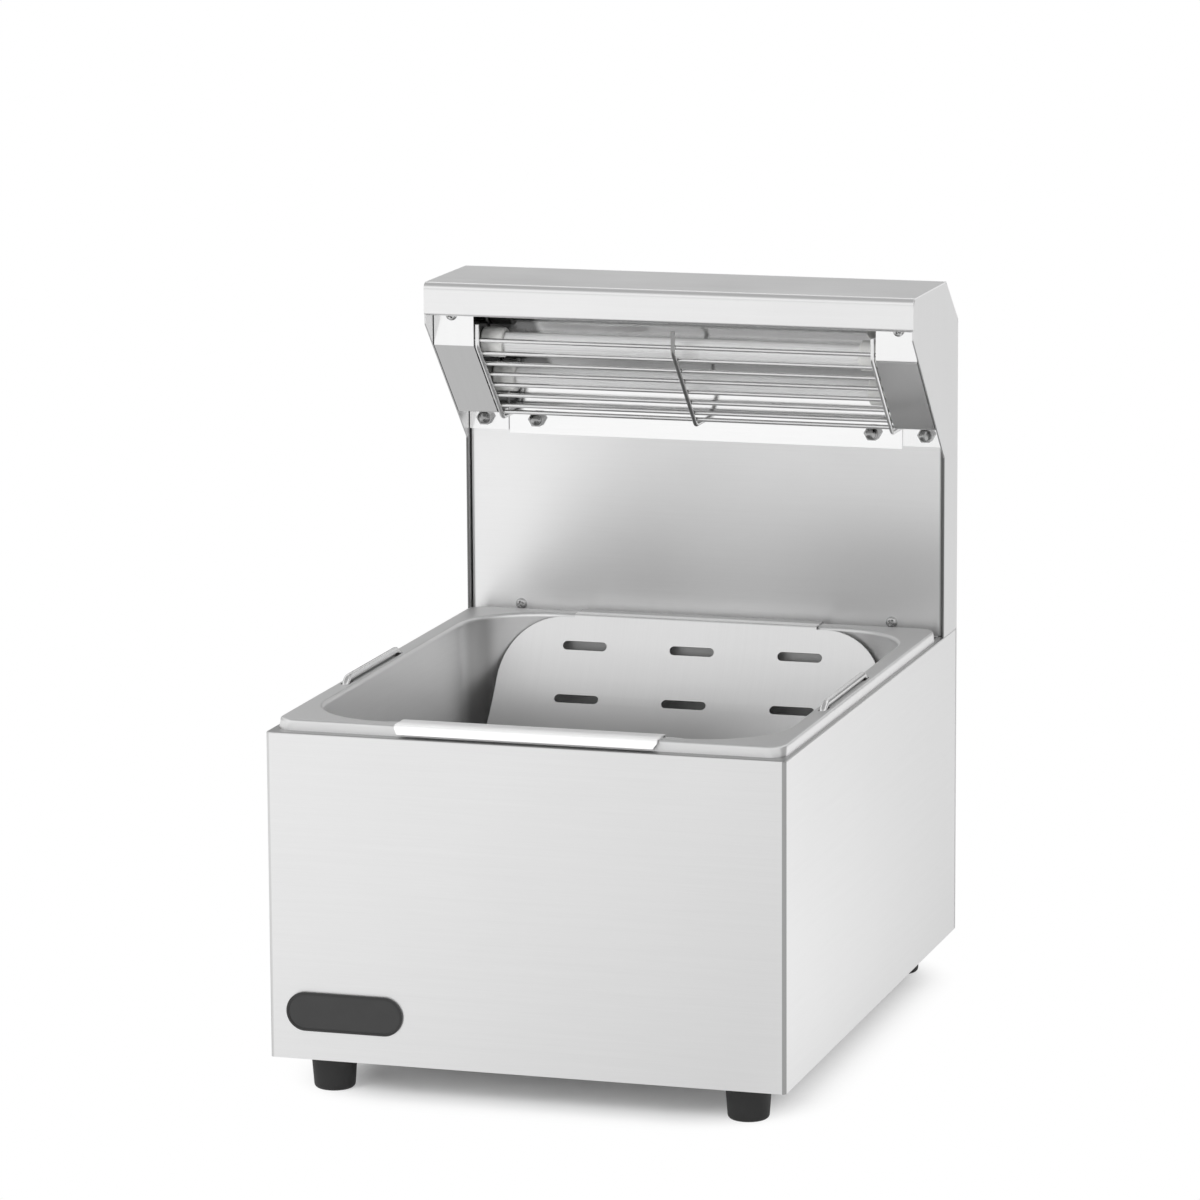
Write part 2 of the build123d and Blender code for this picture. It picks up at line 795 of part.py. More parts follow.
def make_dome_nuts():
    """Nuts under the lamps."""
    nut = dome_nut()
    return [facing(x, y, z, (0, -1, 0)) * nut for x, z, y in nut_places()]


def make_bracket_bolts():
    """Bolts from inside the column into the dome nuts."""
    bolts = []
    for x, z, y in nut_places():
        length = splash_back_y - y + m6_nut_h - thread_gap
        bolt = screw(m6_d, m6_head_d, m6_head_h, length)
        bolts.append(facing(x, splash_back_y, z, (0, 1, 0)) * bolt)
    return bolts


def make_lamp_tube(y, z):
    """Quartz tube."""
    ring = Circle(tube_d / 2) - Circle(tube_d / 2 - tube_wall)
    return extrude(facing_x(-tube_l / 2, y, z) * ring, amount=tube_l)


def facing_x(x, y, z):
    """Plane at a point, looking along X."""
    return Plane(origin=(x, y, z), x_dir=(0, 1, 0), z_dir=(1, 0, 0))


def make_heating_element(y, z):
    """Element in a tube, with a pin at each end."""
    core_l = tube_l - 2 * element_short
    pin_l = 2 * (bracket_in + cap_tail)
    core = rod(-core_l / 2, y, z, (1, 0, 0), element_d / 2, core_l)
    return core + rod(-pin_l / 2, y, z, (1, 0, 0), element_pin_d / 2, pin_l)


def make_lamp_cap(side, y, z):
    """Ceramic cap: a stepped body that seats on the cheek, with a socket for the tube."""
    body = extrude(Circle(cap_d / 2), amount=-cap_grip)
    body = chamfer(body.edges(), cap_edge)
    neck = extrude(Circle(cap_neck_d / 2), amount=cap_tail)
    neck = chamfer(neck.edges().sort_by(Axis.Z)[-1], cap_edge)
    socket_r = tube_d / 2 + hole_gap
    socket = Pos(0, 0, -cap_grip) * extrude(Circle(socket_r), amount=cap_socket)
    pin_r = element_pin_d / 2 + hole_gap
    pin_hole = Pos(0, 0, -cap_grip) * extrude(Circle(pin_r), amount=cap_grip + cap_tail)
    cap = facing_x(bracket_in, y, z) * (body + neck - socket - pin_hole)
    return cap if side > 0 else mirror(cap, about=Plane.YZ)


def make_switch_housing():
    """Snap-in switch: bezel outside, body inside, and a window with pivot holes for the rocker."""
    z = deck_z + switch_rise
    bezel = RectangleRounded(switch_w + 2 * bezel_rim, switch_h + 2 * bezel_rim, bezel_rim)
    housing = extrude(facing(switch_x, rear_y, z, (0, 1, 0)) * bezel, amount=bezel_t)
    body = Rectangle(switch_w, switch_h)
    housing += extrude(facing(switch_x, rear_y, z, (0, 1, 0)) * body, amount=-switch_depth)
    face_y = rear_y + bezel_t
    window = Rectangle(window_w, window_h)
    housing -= extrude(facing(switch_x, face_y, z, (0, 1, 0)) * window, amount=-window_depth)
    pivot_l = window_w + 2 * (pivot_reach + rocker_gap)
    pivot_r = pivot_d / 2 + pivot_fit
    housing -= rod(switch_x - pivot_l / 2, face_y - pivot_set, z, (1, 0, 0), pivot_r, pivot_l)
    return housing


def make_switch_rocker():
    """Rocker with two faces and a pivot pin at each side, shown switched off."""
    z = deck_z + switch_rise
    width = window_w - 2 * rocker_gap
    half = rocker_h / 2
    outline = Polyline(
        (-rocker_back, -half),
        (rocker_peak, -half),
        (rocker_valley, 0),
        (rocker_peak, half),
        (-rocker_back, half),
        close=True,
    )
    pin_l = width + 2 * pivot_reach
    rocker = across(make_face(outline), -width / 2, width / 2)
    rocker += rod(-pin_l / 2, 0, 0, (1, 0, 0), pivot_d / 2, pin_l)
    rocker = Rot(-rocker_tilt, 0, 0) * rocker
    return Pos(switch_x, rear_y + bezel_t - pivot_set, z) * rocker


def make_terminal_block():
    """Block with a screw well for each pole, on the back of the splash."""
    middle = (0, splash_back_y + block_d / 2, deck_z + block_rise)
    block = Pos(*middle) * Box(block_w, block_d, block_h)
    top = block.edges().group_by(Axis.Y)[-1]
    block = chamfer(top, sheet)
    pole_pitch = block_w / block_poles
    for i in range(block_poles):
        x = (i - (block_poles - 1) / 2) * pole_pitch
        y = splash_back_y + block_d
        block -= rod(x, y, middle[2], (0, -1, 0), pole_d / 2, pole_depth)
    return block


def make_cable_gland():
    """Gland: hexagon flange, domed cap, threaded stub and a bore right through."""
    plane = facing(gland_x, rear_y, deck_z + gland_rise, (0, 1, 0))
    flange = extrude(RegularPolygon(gland_af / 2, 6, major_radius=False), amount=gland_flange_h)
    cap = Pos(0, 0, gland_flange_h) * extrude(Circle(gland_cap_d / 2), amount=gland_cap_h)
    cap = fillet(cap.edges().sort_by(Axis.Z)[-1], gland_cap_r)
    stub = extrude(Circle(gland_stub_d / 2), amount=-gland_stub_l)
    bore = Pos(0, 0, -gland_stub_l) * extrude(
        Circle(gland_bore_d / 2), amount=gland_stub_l + gland_proud
    )
    return plane * (flange + cap + stub - bore)


def make_gland_locknut():
    """Nut on the gland's stub, inside the cover."""
    nut = hex_nut(gland_af, locknut_h, gland_stub_d + 2 * thread_gap)
    return facing(gland_x, rear_y - sheet, deck_z + gland_rise, (0, -1, 0)) * nut


def lamp_leads(side):
    """Two leads from the caps on one side, down behind the splash to the terminal block."""
    cap_x = bracket_in + cap_tail
    block_z = deck_z + block_rise
    back = splash_back_y + lead_back
    leads = []
    runs = {"lower": (lead_out_low, lead_split), "upper": (lead_out_high, -lead_split)}
    for name, (out, rise) in runs.items():
        y, z = lamp_places()[name]
        run_x = cap_x + out
        path = [
            (cap_x + lead_gap, y, z),
            (run_x, y, z),
            (run_x, back, z),
            (run_x, back, block_z + rise),
            (block_w / 2, back, block_z + rise),
        ]
        path = [(side * px, py, pz) for px, py, pz in path]
        leads.append(wire(path, lead_bend_r, lead_d))
    return leads


def switch_leads():
    """Two leads from under the switch to the top of the terminal block."""
    top_z = deck_z + block_rise + block_h / 2
    start_z = deck_z + switch_rise - switch_h / 2
    y = splash_back_y + switch_lead_back
    leads = []
    for i, level in enumerate(switch_lead_levels):
        from_x = switch_x + (2 * i - 1) * switch_lead_split
        to_x = block_w / 4 + (2 * i - 1) * switch_lead_split
        path = [
            (from_x, y, start_z),
            (from_x, y, top_z + level),
            (to_x, y, top_z + level),
            (to_x, y, top_z),
        ]
        leads.append(wire(path, lead_bend_r, lead_d))
    return leads


def make_food_pan():
    """Drawn pan: flange with a turned-down lip, drafted walls and a rounded floor."""
    top_w = pan_foot_w - 2 * pan_lip_flare
    top_l = pan_foot_l - 2 * pan_lip_flare
    flare = degrees(atan2(pan_lip_flare, pan_lip_h))
    outer = RectangleRounded(top_w, top_l, pan_outer_r)
    brim = extrude(outer, amount=-pan_lip_h, taper=-flare)
    brim = fillet(brim.edges().group_by(Axis.Z)[-1], pan_lip_r)
    inset = 2 * pan_sheet
    inner = RectangleRounded(top_w - inset, top_l - inset, pan_outer_r - pan_sheet)
    under = Pos(0, 0, -pan_sheet) * extrude(inner, amount=-pan_lip_h, taper=-flare)
    under = fillet(under.edges().group_by(Axis.Z)[-1], pan_lip_r - pan_sheet)
    well = RectangleRounded(well_w, well_l, pan_corner_r)
    cavity = extrude(well, amount=-(pan_depth - pan_sheet), taper=pan_draft)
    cavity = fillet(cavity.edges().group_by(Axis.Z)[0], pan_floor_r)
    hull = RectangleRounded(well_w + inset, well_l + inset, pan_corner_r + pan_sheet)
    wall = extrude(hull, amount=-pan_depth, taper=pan_draft)
    wall = fillet(wall.edges().group_by(Axis.Z)[0], pan_floor_r + pan_sheet)
    pan = brim - under + wall
    bend = [e for e in pan.edges() if is_under_bend(e)]
    pan = fillet(bend, pan_rim_r - pan_sheet)
    pan -= cavity
    rim = [e for e in pan.edges() if is_rim(e)]
    pan = fillet(rim, pan_rim_r)
    pan = Pos(0, pan_y, flange_z) * pan
    for hole in handle_slots():
        pan -= hole
    return pan


def is_under_bend(edge):
    """True for the corner between the flange's underside and the pan's wall."""
    box = edge.bounding_box()
    flat = abs(box.min.Z + pan_sheet) < 0.01 and abs(box.max.Z + pan_sheet) < 0.01
    inside = max(abs(box.min.X), abs(box.max.X)) < well_w / 2 + 2 * pan_sheet
    return flat and inside and max(abs(box.min.Y), abs(box.max.Y)) < well_l / 2 + 2 * pan_sheet


def is_rim(edge):
    """True for the edge between the flange's top and the pan's inside."""
    box = edge.bounding_box()
    flat = abs(box.min.Z) < 0.01 and abs(box.max.Z) < 0.01
    inside = max(abs(box.min.X), abs(box.max.X)) < well_w / 2 + pan_sheet / 2
    return flat and inside and max(abs(box.min.Y), abs(box.max.Y)) < well_l / 2 + pan_sheet / 2


def handle_slots():
    """Slots in the flange for the handles' bent shoulders."""
    width = handle_d + 2 * handle_gap
    length = width + handle_bend_r
    shift = handle_bend_r / 2
    slots = []
    for side in (-1, 1):
        for end in (-1, 1):
            y = handle_y + end * (handle_span / 2 - shift)
            plane = Plane(origin=(side * handle_x, y, flange_z + 1), x_dir=(0, 1, 0))
            slots.append(extrude(plane * SlotOverall(length, width), amount=-(pan_sheet + 2)))
    return slots


def make_handle_guide(side):
    """Angle on the pan's wall with a hole for each leg of the handle."""
    lean = tan(radians(pan_draft))
    wall_x = well_w / 2 + pan_sheet
    top = -guide_drop
    low = top - guide_leaf_h
    edge = half_w - deck_side - guide_gap
    outline = Polyline(
        (wall_x + top * lean, top),
        (edge, top),
        (edge, top - guide_t),
        (wall_x + (top - guide_t) * lean + guide_t, top - guide_t),
        (wall_x + low * lean + guide_t, low),
        (wall_x + low * lean, low),
        close=True,
    )
    length = handle_span + 2 * guide_margin
    plane = Plane(origin=(0, handle_y + length / 2, flange_z), x_dir=(1, 0, 0), z_dir=(0, -1, 0))
    guide = extrude(plane * make_face(outline), amount=length)
    for end in (-1, 1):
        y = handle_y + end * handle_span / 2
        radius = handle_d / 2 + handle_gap
        guide -= rod(handle_x, y, flange_z - guide_drop + 1, (0, 0, -1), radius, guide_t + 2)
    return guide if side > 0 else mirror(guide, about=Plane.YZ)


def make_handle(side):
    """Wire handle: a bar, two legs through the flange, and a stop at the foot of each leg."""
    x = side * handle_x
    ends = [handle_y - handle_span / 2, handle_y + handle_span / 2]
    path = [
        (x, ends[0], stop_top_z),
        (x, ends[0], handle_bar_z),
        (x, ends[1], handle_bar_z),
        (x, ends[1], stop_top_z),
    ]
    handle = wire(path, handle_bend_r, handle_d)
    for y in ends:
        handle += rod(x, y, stop_top_z, (0, 0, -1), handle_stop_d / 2, handle_stop_h)
    return handle


def make_fry_insert():
    """Curved plate with rows of slots, hung in the pan by a hooked tab at each end."""
    rim_z = flange_z - insert_rim_drop
    tab_z = flange_z + insert_t
    rise = tab_z - rim_z
    reach = well_l / 2 - insert_wall_gap
    sag = pan_depth - pan_sheet - insert_floor_gap - insert_t - insert_rim_drop
    end = 2 * atan2(sqrt(reach**2 + rise * (2 * sag + rise)) - reach, rise)
    climb = rise / tan(end)
    half_l = reach - climb
    radius = half_l / sin(end)
    centre_z = rim_z + radius * cos(end)
    arc_len = 2 * end * radius
    insert_w = well_w - 2 * insert_side_gap
    ring = Circle(radius + insert_t) - Circle(radius)
    wedge = make_face(
        Polyline((0, 0), (2 * half_l, -2 * half_l / tan(end)), (0, -4 * radius),
                 (-2 * half_l, -2 * half_l / tan(end)), close=True)
    )
    section = Pos(pan_y, centre_z) * (ring & wedge)
    trough = across(section, -insert_w / 2, insert_w / 2)
    corner_x = insert_w / 2 - insert_corner_r
    corner_z = rim_z - insert_corner_r * sin(end)
    block = Rectangle(insert_corner_r, insert_corner_r, align=(Align.MIN, Align.MIN))
    spandrel = scale(block - Circle(insert_corner_r), by=(1, sin(end), 1))
    spandrel = Pos(corner_x, corner_z) * spandrel
    cutter = extrude(Plane.XZ.offset(-pan_y - well_l) * spandrel, amount=2 * well_l)
    trough -= cutter
    trough -= mirror(cutter, about=Plane.YZ)
    step = (arc_len - 2 * slot_edge) / (slot_rows - 1) / radius
    first = -end + slot_edge / radius
    slots = []
    for row in range(slot_rows):
        angle = first + row * step
        for column in (-1, 0, 1):
            outward = (0, sin(angle), -cos(angle))
            plane = Plane(
                origin=(column * slot_pitch_x, pan_y, centre_z), x_dir=(1, 0, 0), z_dir=outward
            ).offset(radius - insert_t)
            slots.append(extrude(plane * SlotOverall(slot_l, slot_w), amount=3 * insert_t))
    trough -= slots
    foot = pan_foot_l / 2 + insert_hook_gap + insert_t
    path = [
        (half_l, rim_z),
        (half_l + climb, tab_z),
        (foot, tab_z),
        (foot + insert_hook_lean, tab_z - insert_hook_h),
    ]
    tab = Pos(pan_y, 0) * folded(path, insert_t, [fold_r] * 2)
    rear_tab = across(tab, -insert_tab_w / 2, insert_tab_w / 2)
    hook_z = tab_z - insert_t - fold_r
    hook_foot_z = tab_z - insert_hook_h - insert_t
    wedge = make_face(
        Polyline((insert_tab_w / 2, hook_z), (insert_tab_w / 2 + insert_hook_taper, hook_foot_z),
                 (insert_tab_w / 2 - insert_hook_taper, hook_foot_z), close=True)
    )
    hook_y = pan_y + foot - insert_t - fold_r
    ends = extrude(Plane.XZ.offset(-hook_y) * wedge, amount=-2 * (insert_hook_lean + insert_t + fold_r))
    rear_tab -= ends
    rear_tab -= mirror(ends, about=Plane.YZ)
    front_tab = mirror(rear_tab, about=Plane.XZ.offset(-pan_y))
    return trough + rear_tab + front_tab


# Every piece by its node's name
nodes = {
    "body_shell": make_body_shell(),
    "rear_deck": make_rear_deck(),
    "body_back_panel": make_body_back_panel(),
    "base_plate": make_base_plate(),
    "badge_plate": make_badge_plate(),
    "foot_screws": make_foot_screws(),
    "foot_nuts": make_foot_nuts(),
    "body_back_screws": back_screws(body_back_screws()),
    "column_splash": make_column_splash(),
    "splash_screws": make_splash_screws(),
    "hood_cover": make_hood_cover(),
    "column_back_cover": make_column_back_cover(),
    "column_back_screws": back_screws(column_back_screws()),
    "reflector": make_reflector(),
    "lamp_guard": make_lamp_guard(),
    "bracket_screws": make_bracket_screws(),
    "dome_nuts": make_dome_nuts(),
    "bracket_bolts": make_bracket_bolts(),
    "terminal_block": make_terminal_block(),
    "switch_leads": switch_leads(),
    "switch_housing": make_switch_housing(),
    "switch_rocker": make_switch_rocker(),
    "cable_gland": make_cable_gland(),
    "gland_locknut": make_gland_locknut(),
    "food_pan": make_food_pan(),
    "fry_insert": make_fry_insert(),
}
for name, (x, y) in at_feet().items():
    nodes[name] = make_foot(x, y)
for name, (y, z) in lamp_places().items():
    nodes[f"lamp_tube_{name}"] = make_lamp_tube(y, z)
    nodes[f"heating_element_{name}"] = make_heating_element(y, z)
for side, sign in (("left", -1), ("right", 1)):
    nodes[f"side_panel_{side}"] = make_side_panel(sign)
    nodes[f"lamp_bracket_{side}"] = make_lamp_bracket(sign)
    nodes[f"hood_clip_{side}"] = make_hood_clip(sign)
    nodes[f"lamp_leads_{side}"] = lamp_leads(sign)
    nodes[f"handle_{side}"] = make_handle(sign)
    nodes[f"handle_guide_{side}"] = make_handle_guide(sign)
    for name, (y, z) in lamp_places().items():
        nodes[f"lamp_cap_{name}_{side}"] = make_lamp_cap(sign, y, z)

for name, piece in nodes.items():
    shape = Compound(children=piece) if isinstance(piece, list) else piece
    export_step(shape, f"parts/{name}.step")
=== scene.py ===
import math

import bmesh
import bpy
from mathutils import Matrix, Vector
from mathutils.bvhtree import BVHTree


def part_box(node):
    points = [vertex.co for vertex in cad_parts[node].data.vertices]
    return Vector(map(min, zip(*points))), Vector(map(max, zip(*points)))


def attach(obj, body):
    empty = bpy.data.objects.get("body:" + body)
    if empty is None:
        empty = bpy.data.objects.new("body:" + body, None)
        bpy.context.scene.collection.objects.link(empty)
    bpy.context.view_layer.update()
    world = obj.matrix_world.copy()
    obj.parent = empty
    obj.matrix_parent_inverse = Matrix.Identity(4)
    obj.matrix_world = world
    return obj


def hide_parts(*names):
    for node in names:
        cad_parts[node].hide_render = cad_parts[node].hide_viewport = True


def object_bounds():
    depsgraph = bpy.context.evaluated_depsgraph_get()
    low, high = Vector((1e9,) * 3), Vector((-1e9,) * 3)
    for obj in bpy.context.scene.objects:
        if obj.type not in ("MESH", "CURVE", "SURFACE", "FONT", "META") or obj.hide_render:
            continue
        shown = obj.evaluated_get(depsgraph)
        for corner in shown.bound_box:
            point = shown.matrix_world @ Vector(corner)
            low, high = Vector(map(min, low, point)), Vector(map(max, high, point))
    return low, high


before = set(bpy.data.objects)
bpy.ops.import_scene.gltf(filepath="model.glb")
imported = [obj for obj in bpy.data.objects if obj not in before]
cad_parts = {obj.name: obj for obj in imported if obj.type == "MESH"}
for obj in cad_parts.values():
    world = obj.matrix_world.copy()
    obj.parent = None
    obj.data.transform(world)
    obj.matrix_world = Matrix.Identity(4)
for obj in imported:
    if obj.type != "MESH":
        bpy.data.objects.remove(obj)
CAD_LOW, CAD_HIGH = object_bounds()

bl_info = {
    "name": "Fry warmer",
    "version": (1, 0, 0),
    "blender": (4, 5, 0),
    "location": "View3D > Sidebar > Fry warmer",
    "description": "Finishes, lamp coils, screw heads and a plain studio for a countertop fry warmer",
    "category": "Object",
}

WHITE = (1.0, 1.0, 1.0, 1.0)
FINE_DETAIL = 3.0          # steps of detail in the fine noises
LYING = 0.8                # a surface that faces up or down more than this lies level
ACROSS_GRAIN = 0.25        # share of a turn
QUARTZ_IOR = 1.46
WELD = 1e-6                # m, points closer than this are one
SORT_DIGITS = 5            # digits of a metre by which places are sorted
CREASE = 35.0              # degrees, sharper edges show as edges


def colour_property(name, description, default):
    """Colour that a user can change."""
    return bpy.props.FloatVectorProperty(
        name=name, description=description, subtype="COLOR", min=0.0, max=1.0, default=default)


def share_property(name, description, default):
    """Number from 0 to 1 that a user can change."""
    return bpy.props.FloatProperty(
        name=name, description=description, subtype="FACTOR", min=0.0, max=1.0, default=default)


def length_property(name, description, default):
    """Length in metres that a user can change."""
    return bpy.props.FloatProperty(
        name=name, description=description, unit="LENGTH", min=0.0, precision=5, default=default)


def number_property(name, description, default):
    """Plain number that a user can change."""
    return bpy.props.FloatProperty(name=name, description=description, default=default)


class SteelLook(bpy.types.PropertyGroup):
    """Colours and sheen of the sheets, the wires and the fasteners, and the painted light and shade on them.
    """

    # The box, the column's front and back, the column's sides and the hood are one satin steel; their colours
    # differ as painted light and shade, with the sides darkest and the column's front and back lightest.
    sheet: colour_property("Sheet", "Colour of the box's satin sheets", (0.90, 0.90, 0.90))
    column: colour_property("Column", "Colour of the column's satin front and back", (0.95, 0.95, 0.95))
    panel: colour_property("Panel", "Colour of the column's satin sides", (0.79, 0.79, 0.79))
    # Edge: painted shade along the column's front edges and the splash's right edge.
    edge: share_property("Edge", "Share of the colour that the column's front edges keep", 0.22)
    # Shade: painted shade low on the splash's right.
    shade: share_property("Shade", "Share of the colour that the splash keeps low on its right", 0.81)
    hood: colour_property("Hood", "Colour of the hood's satin sheet", (0.92, 0.92, 0.92))
    sheet_rough: share_property("Sheet roughness", "Sheen of the satin sheets", 0.32)
    sheet_spread: share_property("Sheet spread", "How much further the sheets blur across the grain", 0.75)
    # Bend and the next share: painted dark reflections in the box's upright bends, fainter on the left.
    bend: share_property("Bend", "Share of the colour that the box's right bend keeps", 0.42)
    faint_bend_painted_reflection: share_property("Faint bend", "Share of the colour that the box's left bend keeps", 0.80)
    # Deck: painted shadow of the pan's lip on the strips under it.
    deck: share_property("Deck", "Share of the colour that the strips under the pan's lip keep", 0.48)
    pan: colour_property("Pan", "Colour of the drawn food pan", (0.84, 0.84, 0.84))
    # Pan corner and pan rim: painted shade in the pan's rear left corner and on top of its flange.
    corner: share_property("Pan corner", "Share of the pan's colour in its dim rear left corner", 0.62)
    # Pan glint and pan lip: painted highlights on the pan's rear wall, its lip and the lip's right side.
    glint: colour_property("Pan glint", "Colour of the pan's brightest places", (1.0, 1.0, 1.0))
    rim: share_property("Pan rim", "Share of the pan's colour on top of its flange", 0.76)
    lip: colour_property("Pan lip", "Colour of the pan's bright turned-down lip", (0.88, 0.88, 0.88))
    pan_rough: share_property("Pan roughness", "Sheen of the drawn food pan", 0.44)
    insert: colour_property("Insert", "Colour of the curved insert", (0.91, 0.91, 0.91))
    # Tab and tab metal: a painted highlight on the insert's front tab, which is made less metallic so that
    # its pale colour shows.
    tab: colour_property("Tab", "Colour of the insert's bright front tab", (0.97, 0.97, 0.97))
    # Painted shade low on the insert's left.
    hollow_painted_shade: share_property("Hollow", "Share of the insert's colour low on its left", 0.52)
    # Hook: painted shade on the insert's rear hook.
    hook: share_property("Hook", "Share of the insert's colour on its rear hook", 0.56)
    tab_metal: share_property("Tab metal", "How metallic the insert's bright front tab is", 0.60)
    insert_rough: share_property("Insert roughness", "Sheen of the curved insert", 0.46)
    bracket: colour_property("Bracket", "Colour of the bright lamp brackets", (0.93, 0.93, 0.93))
    # Painted shade on the brackets' inner faces.
    cheek_painted_shade: share_property("Cheek", "Share of the brackets' colour on their inner faces", 0.22)
    bracket_rough: share_property("Bracket roughness", "Sheen of the bright lamp brackets", 0.15)
    mirror: colour_property("Reflector", "Colour of the polished reflector", (0.95, 0.95, 0.95))
    mirror_rough: share_property("Reflector roughness", "Sheen of the polished reflector", 0.10)
    # Painted dark reflection at the reflector's left end.
    mirror_end_painted_reflection: share_property("Reflector end", "Share of the reflector's colour at its left end", 0.30)
    wire: colour_property("Wire", "Colour of the guard's drawn wire", (0.86, 0.86, 0.86))
    # Stay: painted shade on the guard's middle stay.
    stay: share_property("Stay", "Share of the wire's colour on the guard's middle stay", 0.36)
    screw: colour_property("Screw", "Colour of the screws, the bolts and the foot nuts", (0.60, 0.60, 0.60))
    nut: colour_property("Nut", "Colour of the dome nuts", (0.42, 0.42, 0.42))
    handle: colour_property("Handle", "Colour of the pan's bright handles", (0.82, 0.82, 0.82))
    wire_rough: share_property("Wire roughness", "Sheen of the wires, the handles and the fasteners", 0.24)
    grain_width: length_property("Grain width", "Width of one brushed line", 0.0005)
    grain_length: length_property("Grain length", "Length of one brushed line", 0.045)
    cloud_size: length_property("Cloud size", "Width of the faint patches left by handling", 0.07)


class LampLook(bpy.types.PropertyGroup):
    """Quartz tubes, their coils and the ceramic caps."""

    quartz: colour_property("Quartz", "Colour of the milky quartz", (0.97, 0.97, 0.97))
    quartz_rough: share_property("Quartz roughness", "How far the quartz blurs what is behind it", 0.28)
    quartz_clear: share_property("Quartz clearness", "Share of the light that goes through", 0.08)
    ceramic: colour_property("Ceramic", "Colour of the end caps", (0.86, 0.86, 0.84))
    coil: colour_property("Coil", "Colour of the resistance wire", (0.36, 0.35, 0.34))
    coil_wire: length_property("Coil wire", "Diameter of the resistance wire", 0.0008)
    coil_pitch: length_property("Coil pitch", "Distance from one turn to the next", 0.0032)
    coil_tail: length_property("Coil tail", "Straight run at each end of a coil", 0.024)


class TrimLook(bpy.types.PropertyGroup):
    """Feet, badge plate, switch, gland, leads and the sizes of the screw heads."""

    rubber: colour_property("Rubber", "Colour of the feet", (0.012, 0.012, 0.012))
    badge_field: colour_property("Badge field", "Colour of the plate's sunk field", (0.027, 0.027, 0.027))
    badge_rim: colour_property("Badge rim", "Colour of the plate's rim", (0.018, 0.018, 0.018))
    plastic: colour_property("Plastic", "Colour of the switch and the gland", (0.022, 0.022, 0.023))
    mark: colour_property("Switch marks", "Colour of the switch's on and off marks", (0.85, 0.85, 0.85))
    sleeve: colour_property("Lead sleeve", "Colour of the heatproof leads", (0.80, 0.79, 0.74))
    block: colour_property("Terminal block", "Colour of the terminal block", (0.74, 0.73, 0.70))
    head_height: length_property("Head height", "Height of a screw's head", 0.0024)
    shank_radius: length_property("Shank radius", "Radius of a screw's thread", 0.0019)
    mark_height: length_property("Mark height", "How far the switch marks stand proud", 0.00015)


class StudioLook(bpy.types.PropertyGroup):
    """Floor, backdrop, lamps and camera."""

    floor: colour_property("Floor", "Colour of the floor", (0.90, 0.90, 0.90))
    dusk: colour_property("Dusk", "Full grey in what metal shows of the floor", (0.50, 0.50, 0.50))
    left_grey: share_property("Left grey", "Grey in what metal shows of the floor on the left", 0.0)
    front_grey: share_property("Front grey", "Grey in what metal shows of the floor in front", 0.62)
    right_grey: share_property("Right grey", "Grey in what metal shows of the floor on the right", 0.06)
    rear_grey: share_property("Rear grey", "Grey in what metal shows of the floor behind on the right", 0.54)
    beside_grey: share_property("Beside grey", "Grey in what metal shows of the floor close on the left", 1.0)
    shadow_reach: length_property("Shadow reach", "How far the shadow shows round the object", 0.09)
    below: colour_property("Below", "Colour of the backdrop beyond the floor", (1.0, 1.0, 1.0))
    horizon: colour_property("Horizon", "Colour of the backdrop just above the floor", (0.25, 0.25, 0.25))
    front: colour_property("Front", "Colour of the room just above the floor in front", (0.70, 0.70, 0.70))
    band: colour_property("Band", "Colour of the soft light all round at mid height", (1.0, 1.0, 1.0))
    ceiling: colour_property("Ceiling", "Colour of the room overhead", (0.42, 0.42, 0.42))
    top_power: number_property("Top power", "Power of the softbox overhead in watts", 20.0)
    front_power: number_property("Front power", "Power of the softbox in front in watts", 26.0)
    lens: number_property("Lens", "Focal length in millimetres", 176.93)


class Wire:
    """One socket of a node tree. Arithmetic on wires and numbers adds Math nodes to that tree."""

    def __init__(self, tree, socket=None):
        self.tree = tree
        self.socket = socket

    def node(self, kind, settings=None, sockets=None, out=0):
        """Add any other node: its settings first, then the values or links of its sockets."""
        made = self.tree.nodes.new(kind)
        for name, value in (settings or {}).items():
            setattr(made, name, value)
        for name, value in (sockets or {}).items():
            if isinstance(value, Wire):
                self.tree.links.new(value.socket, made.inputs[name])
            else:
                made.inputs[name].default_value = value
        return Wire(self.tree, made.outputs[out]) if made.outputs else None

    def other(self, out):
        """Another output of the same node."""
        return Wire(self.tree, self.socket.node.outputs[out])

    def _math(self, operation, first, second):
        return self.node("ShaderNodeMath", {"operation": operation}, {0: first, 1: second})

    def __add__(self, value):
        return self._math("ADD", self, value)

    __radd__ = __add__

    def __sub__(self, value):
        return self._math("SUBTRACT", self, value)

    def __rsub__(self, value):
        return self._math("SUBTRACT", value, self)

    def __mul__(self, value):
        return self._math("MULTIPLY", self, value)

    __rmul__ = __mul__

    def __gt__(self, value):
        return self._math("GREATER_THAN", self, value)

    def __lt__(self, value):
        return self._math("LESS_THAN", self, value)

    def __abs__(self):
        return self.node("ShaderNodeMath", {"operation": "ABSOLUTE"}, {0: self})


def rgba(colour, factor=1.0):
    """Colour with full opacity, made lighter or darker by a factor."""
    return tuple(min(1.0, channel * factor) for channel in colour) + (1.0,)


def mixed(tree, mask, first, second):
    """First colour where the mask is 0, second where it is 1."""
    return tree.node("ShaderNodeMix", {"data_type": "RGBA"}, {0: mask, 6: first, 7: second}, out=2)


def toned(tree, mask, colour, first, second):
    """Colour that goes from one factor of itself, where the mask is 0, to another."""
    return mixed(tree, mask, rgba(colour, first), rgba(colour, second))


def patched(tree, ground, patches):
    """Ground colour with patches over it, each a mask and a colour."""
    for mask, colour in patches:
        ground = mixed(tree, mask(tree), ground, colour)
    return ground


